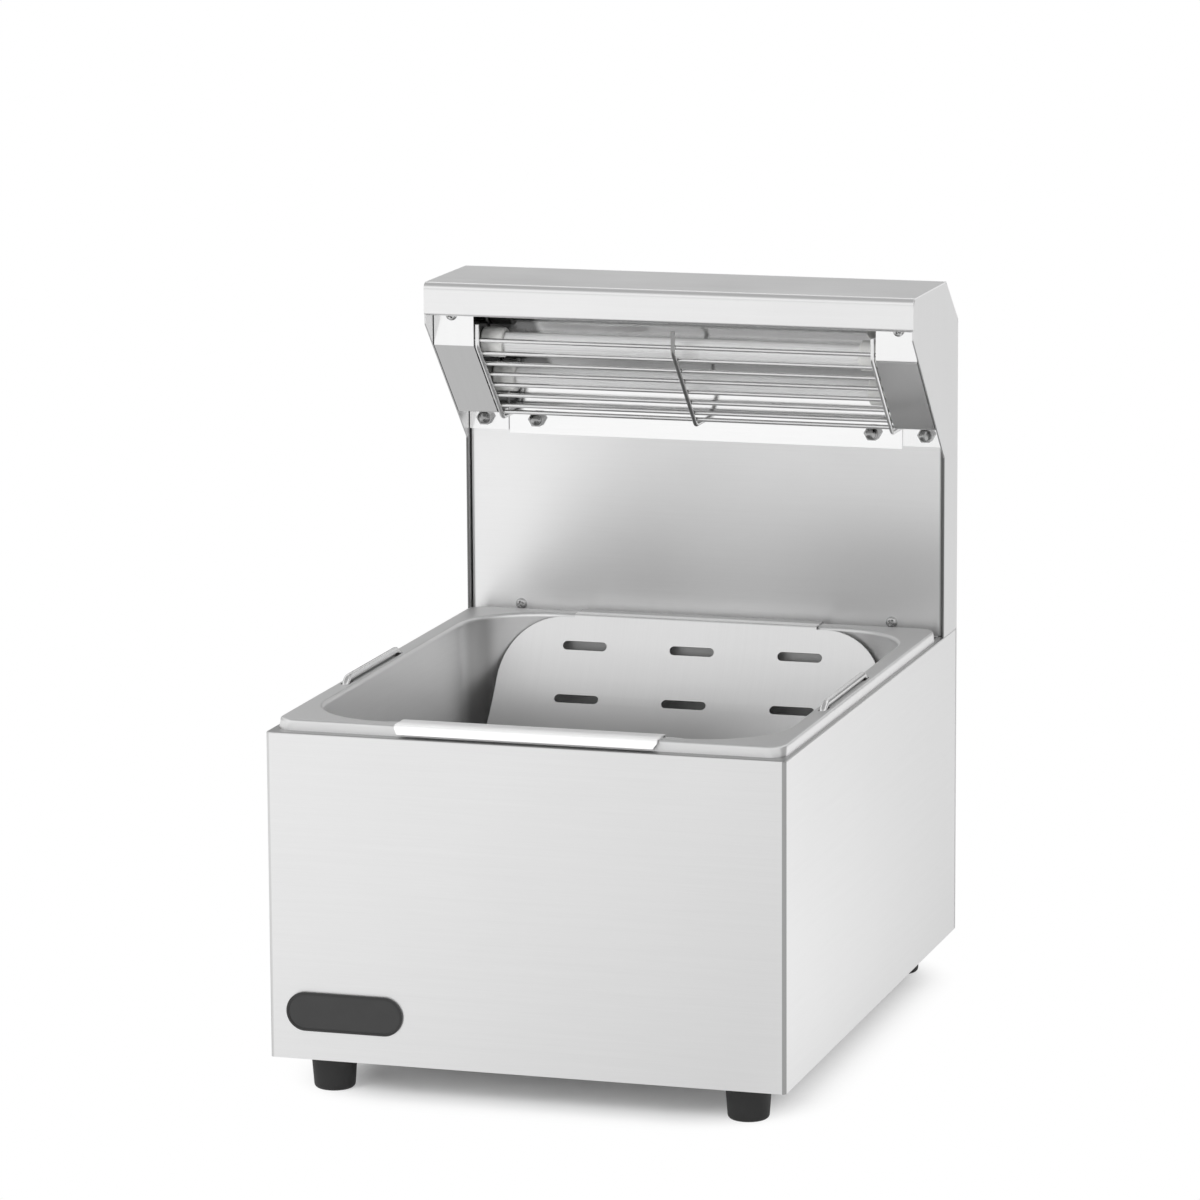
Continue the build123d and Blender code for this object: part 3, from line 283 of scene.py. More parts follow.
def shares_of(colour, shares):
    """Patches in shares of one colour, from masks and their shares."""
    return [(mask, rgba(colour, share)) for mask, share in shares.items()]


def soft_step(tree, value, fade):
    """From 0 at the first value of a fade to 1 at its second, easing at both ends."""
    return tree.node("ShaderNodeMapRange", {"interpolation_type": "SMOOTHSTEP"},
                     {"Value": value, "From Min": fade[0], "From Max": fade[1]})


def straight_step(tree, value, fade, first, second):
    """From one number at the first value of a fade straight to another at its second."""
    return tree.node("ShaderNodeMapRange", sockets={
        "Value": value, "From Min": fade[0], "From Max": fade[1], "To Min": first, "To Max": second})


def vector_math(operation, *values, out=0):
    """Vector Math on values, the first of which is a wire."""
    return values[0].node("ShaderNodeVectorMath", {"operation": operation}, dict(enumerate(values)), out)


def split(vector):
    """The x, y and z of a vector."""
    x = vector.node("ShaderNodeSeparateXYZ", sockets={0: vector})
    return x, x.other(1), x.other(2)


def place_of(tree):
    """The place on the object."""
    return tree.node("ShaderNodeTexCoord", out="Object")


def place_parts(tree):
    """The x, y and z of the place on the object."""
    return split(place_of(tree))


def facing(tree):
    """The x, y and z of the way that the surface faces."""
    return split(tree.node("ShaderNodeNewGeometry", out="Normal"))


def noise(tree, place, cell, detail=2.0):
    """Noise from 0 to 1 with cells of a size in metres, one for all axes or one for each."""
    sizes = cell if isinstance(cell, tuple) else (cell, cell, cell)
    spread = vector_math("DIVIDE", place, sizes)
    return tree.node("ShaderNodeTexNoise", sockets={"Vector": spread, "Scale": 1.0, "Detail": detail})


def blended(first, second, share):
    """Two noises as one, in which the first has a share."""
    return first * share + second * (1.0 - share)


def swinging(middle, *swings):
    """Number that noises move to both sides of its middle, each by half of its own swing."""
    total = middle - sum(swing for _, swing in swings) / 2
    for waves, swing in swings:
        total = waves * swing + total
    return total


def bumped(tree, height, depth, strength):
    """Normal of a surface whose height goes from 0 to depth."""
    return tree.node("ShaderNodeBump", sockets={"Strength": strength, "Distance": depth, "Height": height})


def new_finish(name):
    """Empty material and its node tree."""
    material = bpy.data.materials.new(name)
    material.use_nodes = True
    material.node_tree.nodes.clear()
    return material, Wire(material.node_tree)


def close_finish(tree, sockets):
    """Add the surface shader with its sockets, and the output."""
    shader = tree.node("ShaderNodeBsdfPrincipled", sockets=sockets)
    tree.node("ShaderNodeOutputMaterial", sockets={"Surface": shader})


def grain_place(tree, run):
    """The place with the direction across the grain as its third value."""
    x, y, z = place_parts(tree)
    if run == "level":
        lying = abs(facing(tree)[2]) > LYING
        parts = {0: x, 1: y, 2: z + y * lying}
    elif run == "upright":
        parts = {0: z, 1: z, 2: x + y}
    else:
        parts = {0: y, 1: z, 2: x}
    return tree.node("ShaderNodeCombineXYZ", sockets=parts)


def faces_front(tree):
    """1 on what faces the front."""
    turned_front = (-0.5, -0.9)
    return soft_step(tree, facing(tree)[1], turned_front)


def upright_bend(tree, sign):
    """1 on upright bends, where the x and y of the way they face have a product of this sign."""
    across, back, _ = facing(tree)
    begins, full = 0.03, 0.15
    return soft_step(tree, across * back, (sign * begins, sign * full))


def right_bend_painted_reflection(tree):
    """1 on the upright bends at the front right and the back left, where a dark reflection is painted."""
    return upright_bend(tree, -1)


def left_bend_painted_reflection(tree):
    """1 on the upright bends at the front left and the back right, where a fainter dark reflection is
    painted.
    """
    return upright_bend(tree, 1)


def level_top(tree, node, turned_up):
    """1 on what is turned up along the top of a node."""
    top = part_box(node)[1].z
    close_below = (top - 0.004, top - 0.002)
    return soft_step(tree, facing(tree)[2], turned_up) * soft_step(tree, place_parts(tree)[2], close_below)


def deck_strip_painted_shadow(tree):
    """1 on the narrow strips round the pan, where the lip's painted shadow falls."""
    return level_top(tree, "body_shell", turned_up=(0.60, 0.90))


def panel_edge_painted_shade(tree):
    """1 along the upright front edges of the column's sides, where shade is painted."""
    splash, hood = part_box("column_splash")[0].y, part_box("reflector")[0].z
    before_splash = (splash - 0.0030, splash - 0.0045)
    under_hood = (hood - 0.002, hood - 0.005)
    _, y, z = place_parts(tree)
    return soft_step(tree, y, before_splash) * soft_step(tree, z, under_hood)


def splash_edge_painted_shade(tree):
    """1 along the right edge of the splash, where shade is painted."""
    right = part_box("column_splash")[1].x
    at_edge = (right - 0.0034, right - 0.0016)
    return faces_front(tree) * soft_step(tree, place_parts(tree)[0], at_edge)


def splash_painted_shade(tree):
    """1 low on the right of the splash, where shade is painted."""
    rightwards, downwards = (0.02, 0.15), (0.350, 0.290)
    x, _, z = place_parts(tree)
    return faces_front(tree) * soft_step(tree, x, rightwards) * soft_step(tree, z, downwards)


def pan_corner_painted_shade(tree):
    """1 in the rear left corner of the pan, beside its left wall, where shade is painted."""
    in_round, near_wall = (-0.05, -0.30), (0.68, 0.84)
    across, back, _ = facing(tree)
    return soft_step(tree, across * back, in_round) * soft_step(tree, across, near_wall)


def pan_rear_painted_highlight(tree):
    """1 on the pan's rear wall left of the insert, where a highlight is painted."""
    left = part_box("fry_insert")[0].x
    turned_front, left_of_insert = (-0.55, -0.85), (left + 0.05, left + 0.03)
    rear = soft_step(tree, facing(tree)[1], turned_front)
    return rear * soft_step(tree, place_parts(tree)[0], left_of_insert)


def pan_top_painted_shade(tree):
    """1 on top of the pan's flange, where shade is painted."""
    return level_top(tree, "food_pan", turned_up=(0.80, 0.95))


def pan_lip_painted_highlight(tree):
    """1 on the pan's turned-down lip, where a highlight is painted."""
    inset, fade = 0.0014, (0.0, 0.0008)
    low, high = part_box("food_pan")
    x, y, _ = place_parts(tree)
    reach = 0.0
    for value, first, last in ((x, low.x, high.x), (y, low.y, high.y)):
        beyond = abs(value - (first + last) / 2) - ((last - first) / 2 - inset)
        reach = tree.node("ShaderNodeMath", {"operation": "MAXIMUM"}, {0: beyond, 1: reach})
    return soft_step(tree, reach, fade)


def right_lip_painted_highlight(tree):
    """1 on the right side of the pan's lip, where a brighter highlight is painted."""
    turned_right = (0.2, 0.6)
    return pan_lip_painted_highlight(tree) * soft_step(tree, facing(tree)[0], turned_right)


def bracket_inside_painted_shade(tree):
    """1 on the inner faces of the lamp brackets, where shade is painted."""
    turned_inwards = (-0.02, -0.08)
    return soft_step(tree, facing(tree)[0] * place_parts(tree)[0], turned_inwards)


def reflector_end_painted_reflection(tree):
    """1 at the left end of the reflector, above its foot and further in on its slanted faces, where a dark
    reflection is painted.
    """
    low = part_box("reflector")[0]
    turned_down, further_in = (-0.2, -0.5), 0.026
    above_foot, at_end = (low.z + 0.013, low.z + 0.018), (0.012, 0.006)
    x, _, z = place_parts(tree)
    slanted = soft_step(tree, facing(tree)[2], turned_down)
    return soft_step(tree, x - low.x - slanted * further_in, at_end) * soft_step(tree, z, above_foot)


def guard_stay_painted_shade(tree):
    """1 on the guard's middle stay, where shade is painted."""
    half_width = (0.0016, 0.0012)
    low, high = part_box("lamp_guard")
    return soft_step(tree, abs(place_parts(tree)[0] - (low.x + high.x) / 2), half_width)


def insert_tab_painted_highlight(tree):
    """1 on the insert's front tab, where a highlight is painted."""
    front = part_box("fry_insert")[0].y
    at_front = (front + 0.014, front + 0.008)
    return soft_step(tree, place_parts(tree)[1], at_front)


def insert_hollow_painted_shade(tree):
    """1 low on the left of the insert, where shade is painted."""
    downwards, leftwards = (0.212, 0.172), (0.12, 0.0)
    x, _, z = place_parts(tree)
    return soft_step(tree, z, downwards) * soft_step(tree, x, leftwards)


def insert_hook_painted_shade(tree):
    """1 on the insert's rear hook, where shade is painted."""
    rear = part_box("fry_insert")[1].y
    at_rear = (rear - 0.016, rear - 0.012)
    return soft_step(tree, place_parts(tree)[1], at_rear)


def brushed(name, colour, roughness, run, look, spread=0.0, patches=(), metallic=None):
    """Brushed metal: fine lines and broader streaks along the grain, and patches of painted light and shade
    in other colours.
    """
    material, tree = new_finish(name)
    grain = grain_place(tree, run)
    width, length = look.grain_width, look.grain_length
    longer, wider, depth = 4 * length, 7 * width, 0.4 * width
    fine = noise(tree, grain, (length, length, width), FINE_DETAIL)
    broad = noise(tree, grain, (longer, longer, wider))
    clouds = noise(tree, place_of(tree), look.cloud_size)
    streaks = blended(fine, broad, share=0.6)
    metal = toned(tree, streaks, colour, first=0.955, second=1.045)
    close_finish(tree, {
        "Base Color": patched(tree, metal, patches),
        "Metallic": metallic(tree) if metallic else 1.0,
        "Roughness": swinging(roughness, (streaks, 0.10), (clouds, 0.06)),
        "Anisotropic": spread,
        "Anisotropic Rotation": ACROSS_GRAIN,
        "Normal": bumped(tree, fine, depth, strength=0.05),
    })
    return material


def drawn_wire(name, colour, look, patches=()):
    """Drawn and tumbled steel of the wires, the handles and the fasteners."""
    material, tree = new_finish(name)
    place = place_of(tree)
    fine = noise(tree, place, (0.006, 0.0006, 0.0006), FINE_DETAIL)
    clouds = noise(tree, place, 0.012)
    metal = toned(tree, clouds, colour, first=0.92, second=1.06)
    close_finish(tree, {
        "Base Color": patched(tree, metal, patches),
        "Metallic": 1.0,
        "Roughness": swinging(look.wire_rough, (fine, 0.10), (clouds, 0.08)),
        "Normal": bumped(tree, fine, depth=0.00005, strength=0.10),
    })
    return material


def milky_quartz(look):
    """Drawn quartz tube: milky, with faint lines along it."""
    material, tree = new_finish("milky_quartz")
    place = place_of(tree)
    lines = noise(tree, place, (0.12, 0.0016, 0.0016))
    clouds = noise(tree, place, (0.03, 0.01, 0.01))
    milk = blended(lines, clouds, share=0.7)
    close_finish(tree, {
        "Base Color": toned(tree, milk, look.quartz, first=0.90, second=1.06),
        "Roughness": swinging(look.quartz_rough, (lines, 0.12)),
        "IOR": QUARTZ_IOR,
        "Transmission Weight": look.quartz_clear,
        "Normal": bumped(tree, lines, depth=0.0002, strength=0.25),
    })
    return material


def fired_ceramic(look):
    """Unglazed ceramic with a fine speckle."""
    material, tree = new_finish("fired_ceramic")
    place = place_of(tree)
    grains = (0.56, 0.72)
    speckle = soft_step(tree, noise(tree, place, 0.0009, FINE_DETAIL), grains)
    clouds = noise(tree, place, 0.008)
    stain = speckle * 0.5 + clouds * 0.3
    close_finish(tree, {
        "Base Color": toned(tree, stain, look.ceramic, first=1.0, second=0.80),
        "Roughness": swinging(0.495, (clouds, 0.15)),
        "Normal": bumped(tree, speckle + clouds, depth=0.00008, strength=0.25),
    })
    return material


def oxidised_coil(look):
    """Resistance wire that has been hot: grey with darker patches."""
    material, tree = new_finish("oxidised_coil")
    clouds = noise(tree, place_of(tree), (0.009, 0.002, 0.002), FINE_DETAIL)
    close_finish(tree, {
        "Base Color": toned(tree, clouds, look.coil, first=0.70, second=1.25),
        "Metallic": 1.0,
        "Roughness": swinging(0.45, (clouds, 0.20)),
        "Normal": bumped(tree, clouds, depth=0.00004, strength=0.3),
    })
    return material


def moulded(name, colour, roughness, cell, depth):
    """Moulded rubber or plastic: fine pitted skin and slightly uneven sheen."""
    material, tree = new_finish(name)
    place = place_of(tree)
    cloud = 20 * cell
    pits = noise(tree, place, cell, FINE_DETAIL)
    clouds = noise(tree, place, cloud)
    skin = blended(pits, clouds, share=0.4)
    close_finish(tree, {
        "Base Color": toned(tree, skin, colour, first=0.75, second=1.30),
        "Roughness": swinging(roughness, (pits, 0.12), (clouds, 0.10)),
        "Normal": bumped(tree, pits, depth, strength=0.35),
    })
    return material


def badge_enamel(look):
    """Dark plate: a satin field that is a little lighter than its rim."""
    material, tree = new_finish("badge_enamel")
    place = place_of(tree)
    rim_depth = 0.00025
    rim = split(place)[1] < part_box("badge_plate")[0].y + rim_depth
    peel = noise(tree, place, 0.0022)
    clouds = noise(tree, place, 0.018)
    field = toned(tree, clouds, look.badge_field, first=0.88, second=1.12)
    close_finish(tree, {
        "Base Color": mixed(tree, rim, field, rgba(look.badge_rim)),
        "Roughness": swinging(0.35, (clouds, 0.10)),
        "Normal": bumped(tree, peel, depth=0.00006, strength=0.2),
    })
    return material


def floor_reach(tree, look):
    """How far a place on the floor is from a rectangle inside the object's outline."""
    inner = (CAD_HIGH.x - look.shadow_reach, CAD_HIGH.y - look.shadow_reach, 0.0)
    beyond = vector_math("SUBTRACT", vector_math("ABSOLUTE", place_of(tree)), inner)
    return vector_math("LENGTH", vector_math("MAXIMUM", beyond, (0.0, 0.0, 0.0)), out="Value")


def floor_grey(tree, look, reach):
    """How grey metal shows the floor, from 0 to 1."""
    across_right = (-0.94, 0.287, 0.0)        # across the way that the right side mirrors
    to_front, to_rear, to_right = (-0.45, 0.12), (-0.233, -0.10), (0.10, 0.30)
    to_left, to_back, to_object = (-0.15, -0.20), (-0.30, -0.10), (0.60, 0.25)
    place = place_of(tree)
    x, y, _ = split(place)
    across = vector_math("DOT_PRODUCT", place, across_right, out="Value")
    front = straight_step(tree, x, to_front, look.left_grey, look.front_grey)
    right = straight_step(tree, across, to_rear, look.right_grey, look.rear_grey)
    grey = front + (right - front) * soft_step(tree, x, to_right)
    left = soft_step(tree, x, to_left) * soft_step(tree, y, to_back)
    return grey + (look.beside_grey - grey) * (left * soft_step(tree, reach, to_object))


def pale_floor(look):
    """Plain floor under the object. Away from it the camera sees white, and metal white or grey."""
    material, tree = new_finish("pale_floor")
    reach = floor_reach(tree, look)
    camera_fade = (0.45 * look.shadow_reach, 1.2 * look.shadow_reach)
    mirror_fade = (0.6 * look.shadow_reach, 1.3 * look.shadow_reach)
    seen = tree.node("ShaderNodeLightPath", out="Is Camera Ray")
    mirrored = seen.other("Is Glossy Ray") + seen.other("Is Transmission Ray")
    share = seen * soft_step(tree, reach, camera_fade) + mirrored * soft_step(tree, reach, mirror_fade)
    glow = mixed(tree, mirrored * floor_grey(tree, look, reach), WHITE, rgba(look.dusk))
    plain = tree.node("ShaderNodeBsdfDiffuse", sockets={"Color": rgba(look.floor)})
    white = tree.node("ShaderNodeEmission", sockets={"Color": glow, "Strength": 1.0})
    blend = tree.node("ShaderNodeMixShader", sockets={0: share, 1: plain, 2: white})
    tree.node("ShaderNodeOutputMaterial", sockets={"Surface": blend})
    return material


def coat(material, *nodes):
    """Give CAD nodes a finish."""
    for name in nodes:
        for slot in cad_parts[name].material_slots:
            slot.material = material


def add_piece(name, points, faces, material, body, replaced=(), crease=CREASE):
    """New mesh that rides on a body and may stand for CAD nodes."""
    mesh = bpy.data.meshes.new(name)
    mesh.from_pydata(points, [], faces)
    shape = bmesh.new()
    shape.from_mesh(mesh)
    bmesh.ops.recalc_face_normals(shape, faces=shape.faces)
    shape.to_mesh(mesh)
    shape.free()
    mesh.shade_smooth()
    mesh.set_sharp_from_angle(angle=math.radians(crease))
    mesh.materials.append(material)
    piece = bpy.data.objects.new(name, mesh)
    bpy.context.scene.collection.objects.link(piece)
    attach(piece, body)
    if replaced:
        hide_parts(*replaced)
    return piece


def solids_of(node):
    """Boxes of the separate solids of a CAD node, sorted by place."""
    shape = bmesh.new()
    shape.from_mesh(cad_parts[node].data)
    bmesh.ops.remove_doubles(shape, verts=shape.verts, dist=WELD)
    boxes, left = [], set(shape.verts)
    while left:
        island, reached = [], [left.pop()]
        while reached:
            vertex = reached.pop()
            island.append(vertex.co.copy())
            near = {link.other_vert(vertex) for link in vertex.link_edges} & left
            left -= near
            reached.extend(near)
        boxes.append((Vector(map(min, *island)), Vector(map(max, *island))))
    shape.free()
    return sorted(boxes, key=lambda box: tuple(round(value, SORT_DIGITS) for value in box[0]))


def ring_angles(count):
    """Angles of points spread evenly round a ring."""
    return [2 * math.pi * i / count for i in range(count)]


def ring_faces(first, second, count):
    """Quads between two rings of points, given by the numbers of their first points."""
    return [(first + i, first + (i + 1) % count, second + (i + 1) % count, second + i) for i in range(count)]


def turned(rings, count, bottom, top):
    """Closed skin over rings of points, each a list, with a point at both ends."""
    points, faces = [bottom], []
    for ring in rings:
        start = len(points)
        points.extend(ring)
        if start == 1:
            faces.extend((0, 1 + (i + 1) % count, 1 + i) for i in range(count))
        else:
            faces.extend(ring_faces(start - count, start, count))
    points.append(top)
    last = len(points) - 1
    faces.extend((last - count + i, last - count + (i + 1) % count, last) for i in range(count))
    return points, faces


def cross_screw(radius, height, shank, length):
    """Round-headed screw with a cross recess, standing on z = 0 with its thread below."""
    count, head_rings, ridges = 48, 12, 6
    arm_width, arm_side = 0.17 * radius, 0.06 * radius
    arm_length, arm_end = 0.58 * radius, 0.26 * radius
    crown, shoulder, rounding, recess_depth = 0.20, 0.65, 0.45, 0.55
    tip, valley = 0.7 * shank, 0.84 * shank
    pitch = length / ridges
    crest_place, valley_place = 0.5 * pitch, 0.9 * pitch

    def ring(r, z):
        return [Vector((r * math.cos(a), r * math.sin(a), z)) for a in ring_angles(count)]

    def arm(across, along):
        side = min(1.0, max(0.0, (arm_width - abs(across)) / arm_side))
        end = min(1.0, max(0.0, (arm_length - abs(along)) / arm_end))
        return side * end

    def head(point):
        t = math.hypot(point.x, point.y) / radius
        fall = max(0.0, (t - shoulder) / (1.0 - shoulder))
        dome = 1.0 - crown * t * t - rounding * fall ** 2
        recess = max(arm(point.x, point.y), arm(point.y, point.x))
        return Vector((point.x, point.y, height * (dome - recess_depth * recess)))

    rings = [ring(tip, -length)]
    for i in range(ridges):
        start = i * pitch - length
        rings.append(ring(shank, start + crest_place))
        rings.append(ring(valley, start + valley_place))
    rings.extend([ring(shank, 0.0), ring(radius, 0.0)])
    for i in range(head_rings, 0, -1):
        rings.append([head(point) for point in ring(radius * i / head_rings, 0.0)])
    return turned(rings, count, Vector((0, 0, -length)), head(Vector((0, 0, 0))))


def swept(path, radius, sides):
    """Round wire along a path of points, closed at both ends."""
    rings, turn = [], None
    for i, point in enumerate(path):
        ahead = (path[min(i + 1, len(path) - 1)] - path[max(i - 1, 0)]).normalized()
        if turn is None:
            turn = ahead.orthogonal().normalized()
        turn = (turn - ahead * turn.dot(ahead)).normalized()
        side = ahead.cross(turn)
        rings.append([point + radius * (math.cos(a) * turn + math.sin(a) * side) for a in ring_angles(sides)])
    return turned(rings, sides, path[0], path[-1])


class FRYWARMER_OT_body_sheets(bpy.types.Operator):
    """Brush the sheets of the box: shell, back, base and rear deck, with painted dark reflections in its
    bends and a painted shadow on the strips round the pan
    """

    bl_idname = "fry_warmer.body_sheets"
    bl_label = "Body sheets"

    def execute(self, context):
        look = context.scene.fry_steel
        patches = shares_of(look.sheet, {
            right_bend_painted_reflection: look.bend, left_bend_painted_reflection: look.faint_bend_painted_reflection, deck_strip_painted_shadow: look.deck})
        steel = brushed("satin_sheet", look.sheet, look.sheet_rough, "level", look,
                        spread=look.sheet_spread, patches=patches)
        coat(steel, "body_shell", "body_back_panel", "base_plate", "rear_deck")
        return {"FINISHED"}


class FRYWARMER_OT_column_sheets(bpy.types.Operator):
    """Brush the sheets of the column and the hood, with painted shade on the column's sides, along its front
    edges and low on the splash
    """

    bl_idname = "fry_warmer.column_sheets"
    bl_label = "Column and hood sheets"

    def execute(self, context):
        look = context.scene.fry_steel
        patches = shares_of(look.column, {splash_painted_shade: look.shade, splash_edge_painted_shade: look.edge})
        level = brushed("satin_column", look.column, look.sheet_rough, "level", look,
                        spread=look.sheet_spread, patches=patches)
        coat(level, "column_splash", "column_back_cover")
        hood = brushed("satin_hood", look.hood, look.sheet_rough, "level", look)
        coat(hood, "hood_cover", "hood_clip_left", "hood_clip_right")
        patches = shares_of(look.panel, {panel_edge_painted_shade: look.edge})
        upright = brushed("satin_panel", look.panel, look.sheet_rough, "upright", look, patches=patches)
        coat(upright, "side_panel_left", "side_panel_right")
        return {"FINISHED"}


class FRYWARMER_OT_food_pan(bpy.types.Operator):
    """Finish the drawn pan and the guides under its flange, with painted shade in the pan's rear left corner
    and on its flange, and painted highlights on its rear wall and lip
    """

    bl_idname = "fry_warmer.food_pan"
    bl_label = "Food pan"

    def execute(self, context):
        look = context.scene.fry_steel
        patches = shares_of(look.pan, {pan_corner_painted_shade: look.corner, pan_top_painted_shade: look.rim})
        patches += [(pan_rear_painted_highlight, rgba(look.glint)), (pan_lip_painted_highlight, rgba(look.lip)), (right_lip_painted_highlight, rgba(look.glint))]
        steel = brushed("drawn_pan", look.pan, look.pan_rough, "level", look, patches=patches)
        coat(steel, "food_pan", "handle_guide_left", "handle_guide_right")
        return {"FINISHED"}


class FRYWARMER_OT_fry_insert(bpy.types.Operator):
    """Finish the slotted curved insert, with painted shade low on its left and on its rear hook, and a
    painted highlight on its front tab
    """

    bl_idname = "fry_warmer.fry_insert"
    bl_label = "Curved insert"

    def execute(self, context):
        look = context.scene.fry_steel
        patches = shares_of(look.insert, {insert_hollow_painted_shade: look.hollow_painted_shade, insert_hook_painted_shade: look.hook})
        patches.append((insert_tab_painted_highlight, rgba(look.tab)))
        # The front tab is also made less metallic, as part of its painted highlight.
        steel = brushed("insert_sheet", look.insert, look.insert_rough, "lengthwise", look, patches=patches,
                        metallic=lambda tree: 1.0 - insert_tab_painted_highlight(tree) * (1.0 - look.tab_metal))
        coat(steel, "fry_insert")
        return {"FINISHED"}


class FRYWARMER_OT_wires(bpy.types.Operator):
    """Finish the handles, the lamp guard, the nuts and the hidden bolts in drawn steel, with painted shade on
    the guard's middle stay
    """

    bl_idname = "fry_warmer.wires"
    bl_label = "Wires and nuts"

    def execute(self, context):
        look = context.scene.fry_steel
        coat(drawn_wire("bright_handle", look.handle, look), "handle_left", "handle_right")
        coat(drawn_wire("dome_nut", look.nut, look), "dome_nuts")
        patches = shares_of(look.wire, {guard_stay_painted_shade: look.stay})
        coat(drawn_wire("guard_wire", look.wire, look, patches), "lamp_guard")
        steel = drawn_wire("drawn_steel", look.screw, look)
        coat(steel, "bracket_bolts", "foot_nuts", "foot_screws")
        return {"FINISHED"}


class FRYWARMER_OT_brackets(bpy.types.Operator):
    """Finish the bright covers at the ends of the lamps, with painted shade on their inner faces"""

    bl_idname = "fry_warmer.brackets"
    bl_label = "Lamp brackets"

    def execute(self, context):
        look = context.scene.fry_steel
        patches = shares_of(look.bracket, {bracket_inside_painted_shade: look.cheek_painted_shade})
        bright = brushed("bright_bracket", look.bracket, look.bracket_rough, "lengthwise", look,
                         patches=patches)
        coat(bright, "lamp_bracket_left", "lamp_bracket_right")
        return {"FINISHED"}


class FRYWARMER_OT_reflector(bpy.types.Operator):
    """Polish the reflector behind the tubes, with a painted dark reflection at its left end"""

    bl_idname = "fry_warmer.reflector"
    bl_label = "Reflector"

    def execute(self, context):
        look = context.scene.fry_steel
        patches = shares_of(look.mirror, {reflector_end_painted_reflection: look.mirror_end_painted_reflection})
        bright = brushed("polished_reflector", look.mirror, look.mirror_rough, "level", look, patches=patches)
        coat(bright, "reflector")
        return {"FINISHED"}


class FRYWARMER_OT_lamps(bpy.types.Operator):
    """Finish the quartz tubes and the ceramic caps, and wind a coil in each tube"""

    bl_idname = "fry_warmer.lamps"
    bl_label = "Lamps"

    LEVELS = ("upper", "lower")
    TURN_POINTS = 14           # points along one turn of a coil
    WIRE_SIDES = 6
    LEAD_IN = 0.004            # m along a coil, from its straight tail to its first turn
    COIL_CREASE = 60.0         # degrees

    def execute(self, context):
        look = context.scene.fry_lamps
        coat(milky_quartz(look), *[f"lamp_tube_{level}" for level in self.LEVELS])
        caps = [f"lamp_cap_{level}_{side}" for level in self.LEVELS for side in ("left", "right")]
        coat(fired_ceramic(look), *caps)
        metal = oxidised_coil(look)
        for level in self.LEVELS:
            self.wind(level, metal, look)
        return {"FINISHED"}

    def wind(self, level, metal, look):
        """Coil in place of a heating element's rod."""
        node = f"heating_element_{level}"
        low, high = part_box(node)
        middle = (low + high) / 2
        radius = (high.z - low.z) / 2 - look.coil_wire / 2
        start, end = low.x + look.coil_tail, high.x - look.coil_tail
        steps = self.TURN_POINTS * round((end - start) / look.coil_pitch)

        def point(x, y=0.0, z=0.0):
            return Vector((x, middle.y + y, middle.z + z))

        path = [point(low.x), point(start - self.LEAD_IN)]
        for i in range(steps + 1):
            angle = 2 * math.pi * i / self.TURN_POINTS
            along = start + (end - start) * i / steps
            path.append(point(along, radius * math.cos(angle), radius * math.sin(angle)))
        path += [point(end + self.LEAD_IN), point(high.x)]
        points, faces = swept(path, look.coil_wire / 2, self.WIRE_SIDES)
        add_piece(f"lamp_coil_{level}", points, faces, metal, "housing", [node], self.COIL_CREASE)


class FRYWARMER_OT_screws(bpy.types.Operator):
    """Make the cross-headed screws of the splash, the brackets and the back"""

    bl_idname = "fry_warmer.screws"
    bl_label = "Screws"

    OUTWARD = {
        "splash_screws": Vector((0, -1, 0)),
        "bracket_screws": Vector((0, -1, 0)),
        "body_back_screws": Vector((0, 1, 0)),
        "column_back_screws": Vector((0, 1, 0)),
    }
    FIRST_TURN = 20.0          # degrees, turn of the first screw's cross
    NEXT_TURN = 37.0           # degrees, how much further each next cross is turned

    def execute(self, context):
        look = context.scene.fry_trim
        steel = bpy.data.materials["drawn_steel"]
        for node, outward in self.OUTWARD.items():
            points, faces = [], []
            for number, (low, high) in enumerate(solids_of(node)):
                middle, radius = (low + high) / 2, (high.x - low.x) / 2
                length = high.y - low.y - look.head_height
                seat = middle + outward * ((high.y - low.y) / 2 - look.head_height)
                turn = outward.to_track_quat("Z", "Y").to_matrix().to_4x4()
                angle = math.radians(self.NEXT_TURN * number + self.FIRST_TURN)
                place = Matrix.Translation(seat) @ turn @ Matrix.Rotation(angle, 4, "Z")
                shape, skin = cross_screw(radius, look.head_height, look.shank_radius, length)
                faces.extend([tuple(len(points) + i for i in face) for face in skin])
                points.extend(place @ point for point in shape)
            add_piece(f"{node}_crossed", points, faces, steel, "housing", [node])
        return {"FINISHED"}


class FRYWARMER_OT_feet(bpy.types.Operator):
    """Finish the rubber feet"""

    bl_idname = "fry_warmer.feet"
    bl_label = "Feet"

    def execute(self, context):
        look = context.scene.fry_trim
        rubber = moulded("foot_rubber", look.rubber, roughness=0.58, cell=0.0007, depth=0.00012)
        coat(rubber, *[f"foot_{end}_{side}" for end in ("front", "rear") for side in ("left", "right")])
        return {"FINISHED"}


class FRYWARMER_OT_badge(bpy.types.Operator):
    """Finish the bare badge plate"""

    bl_idname = "fry_warmer.badge"
    bl_label = "Badge plate"

    def execute(self, context):
        coat(badge_enamel(context.scene.fry_trim), "badge_plate")
        return {"FINISHED"}


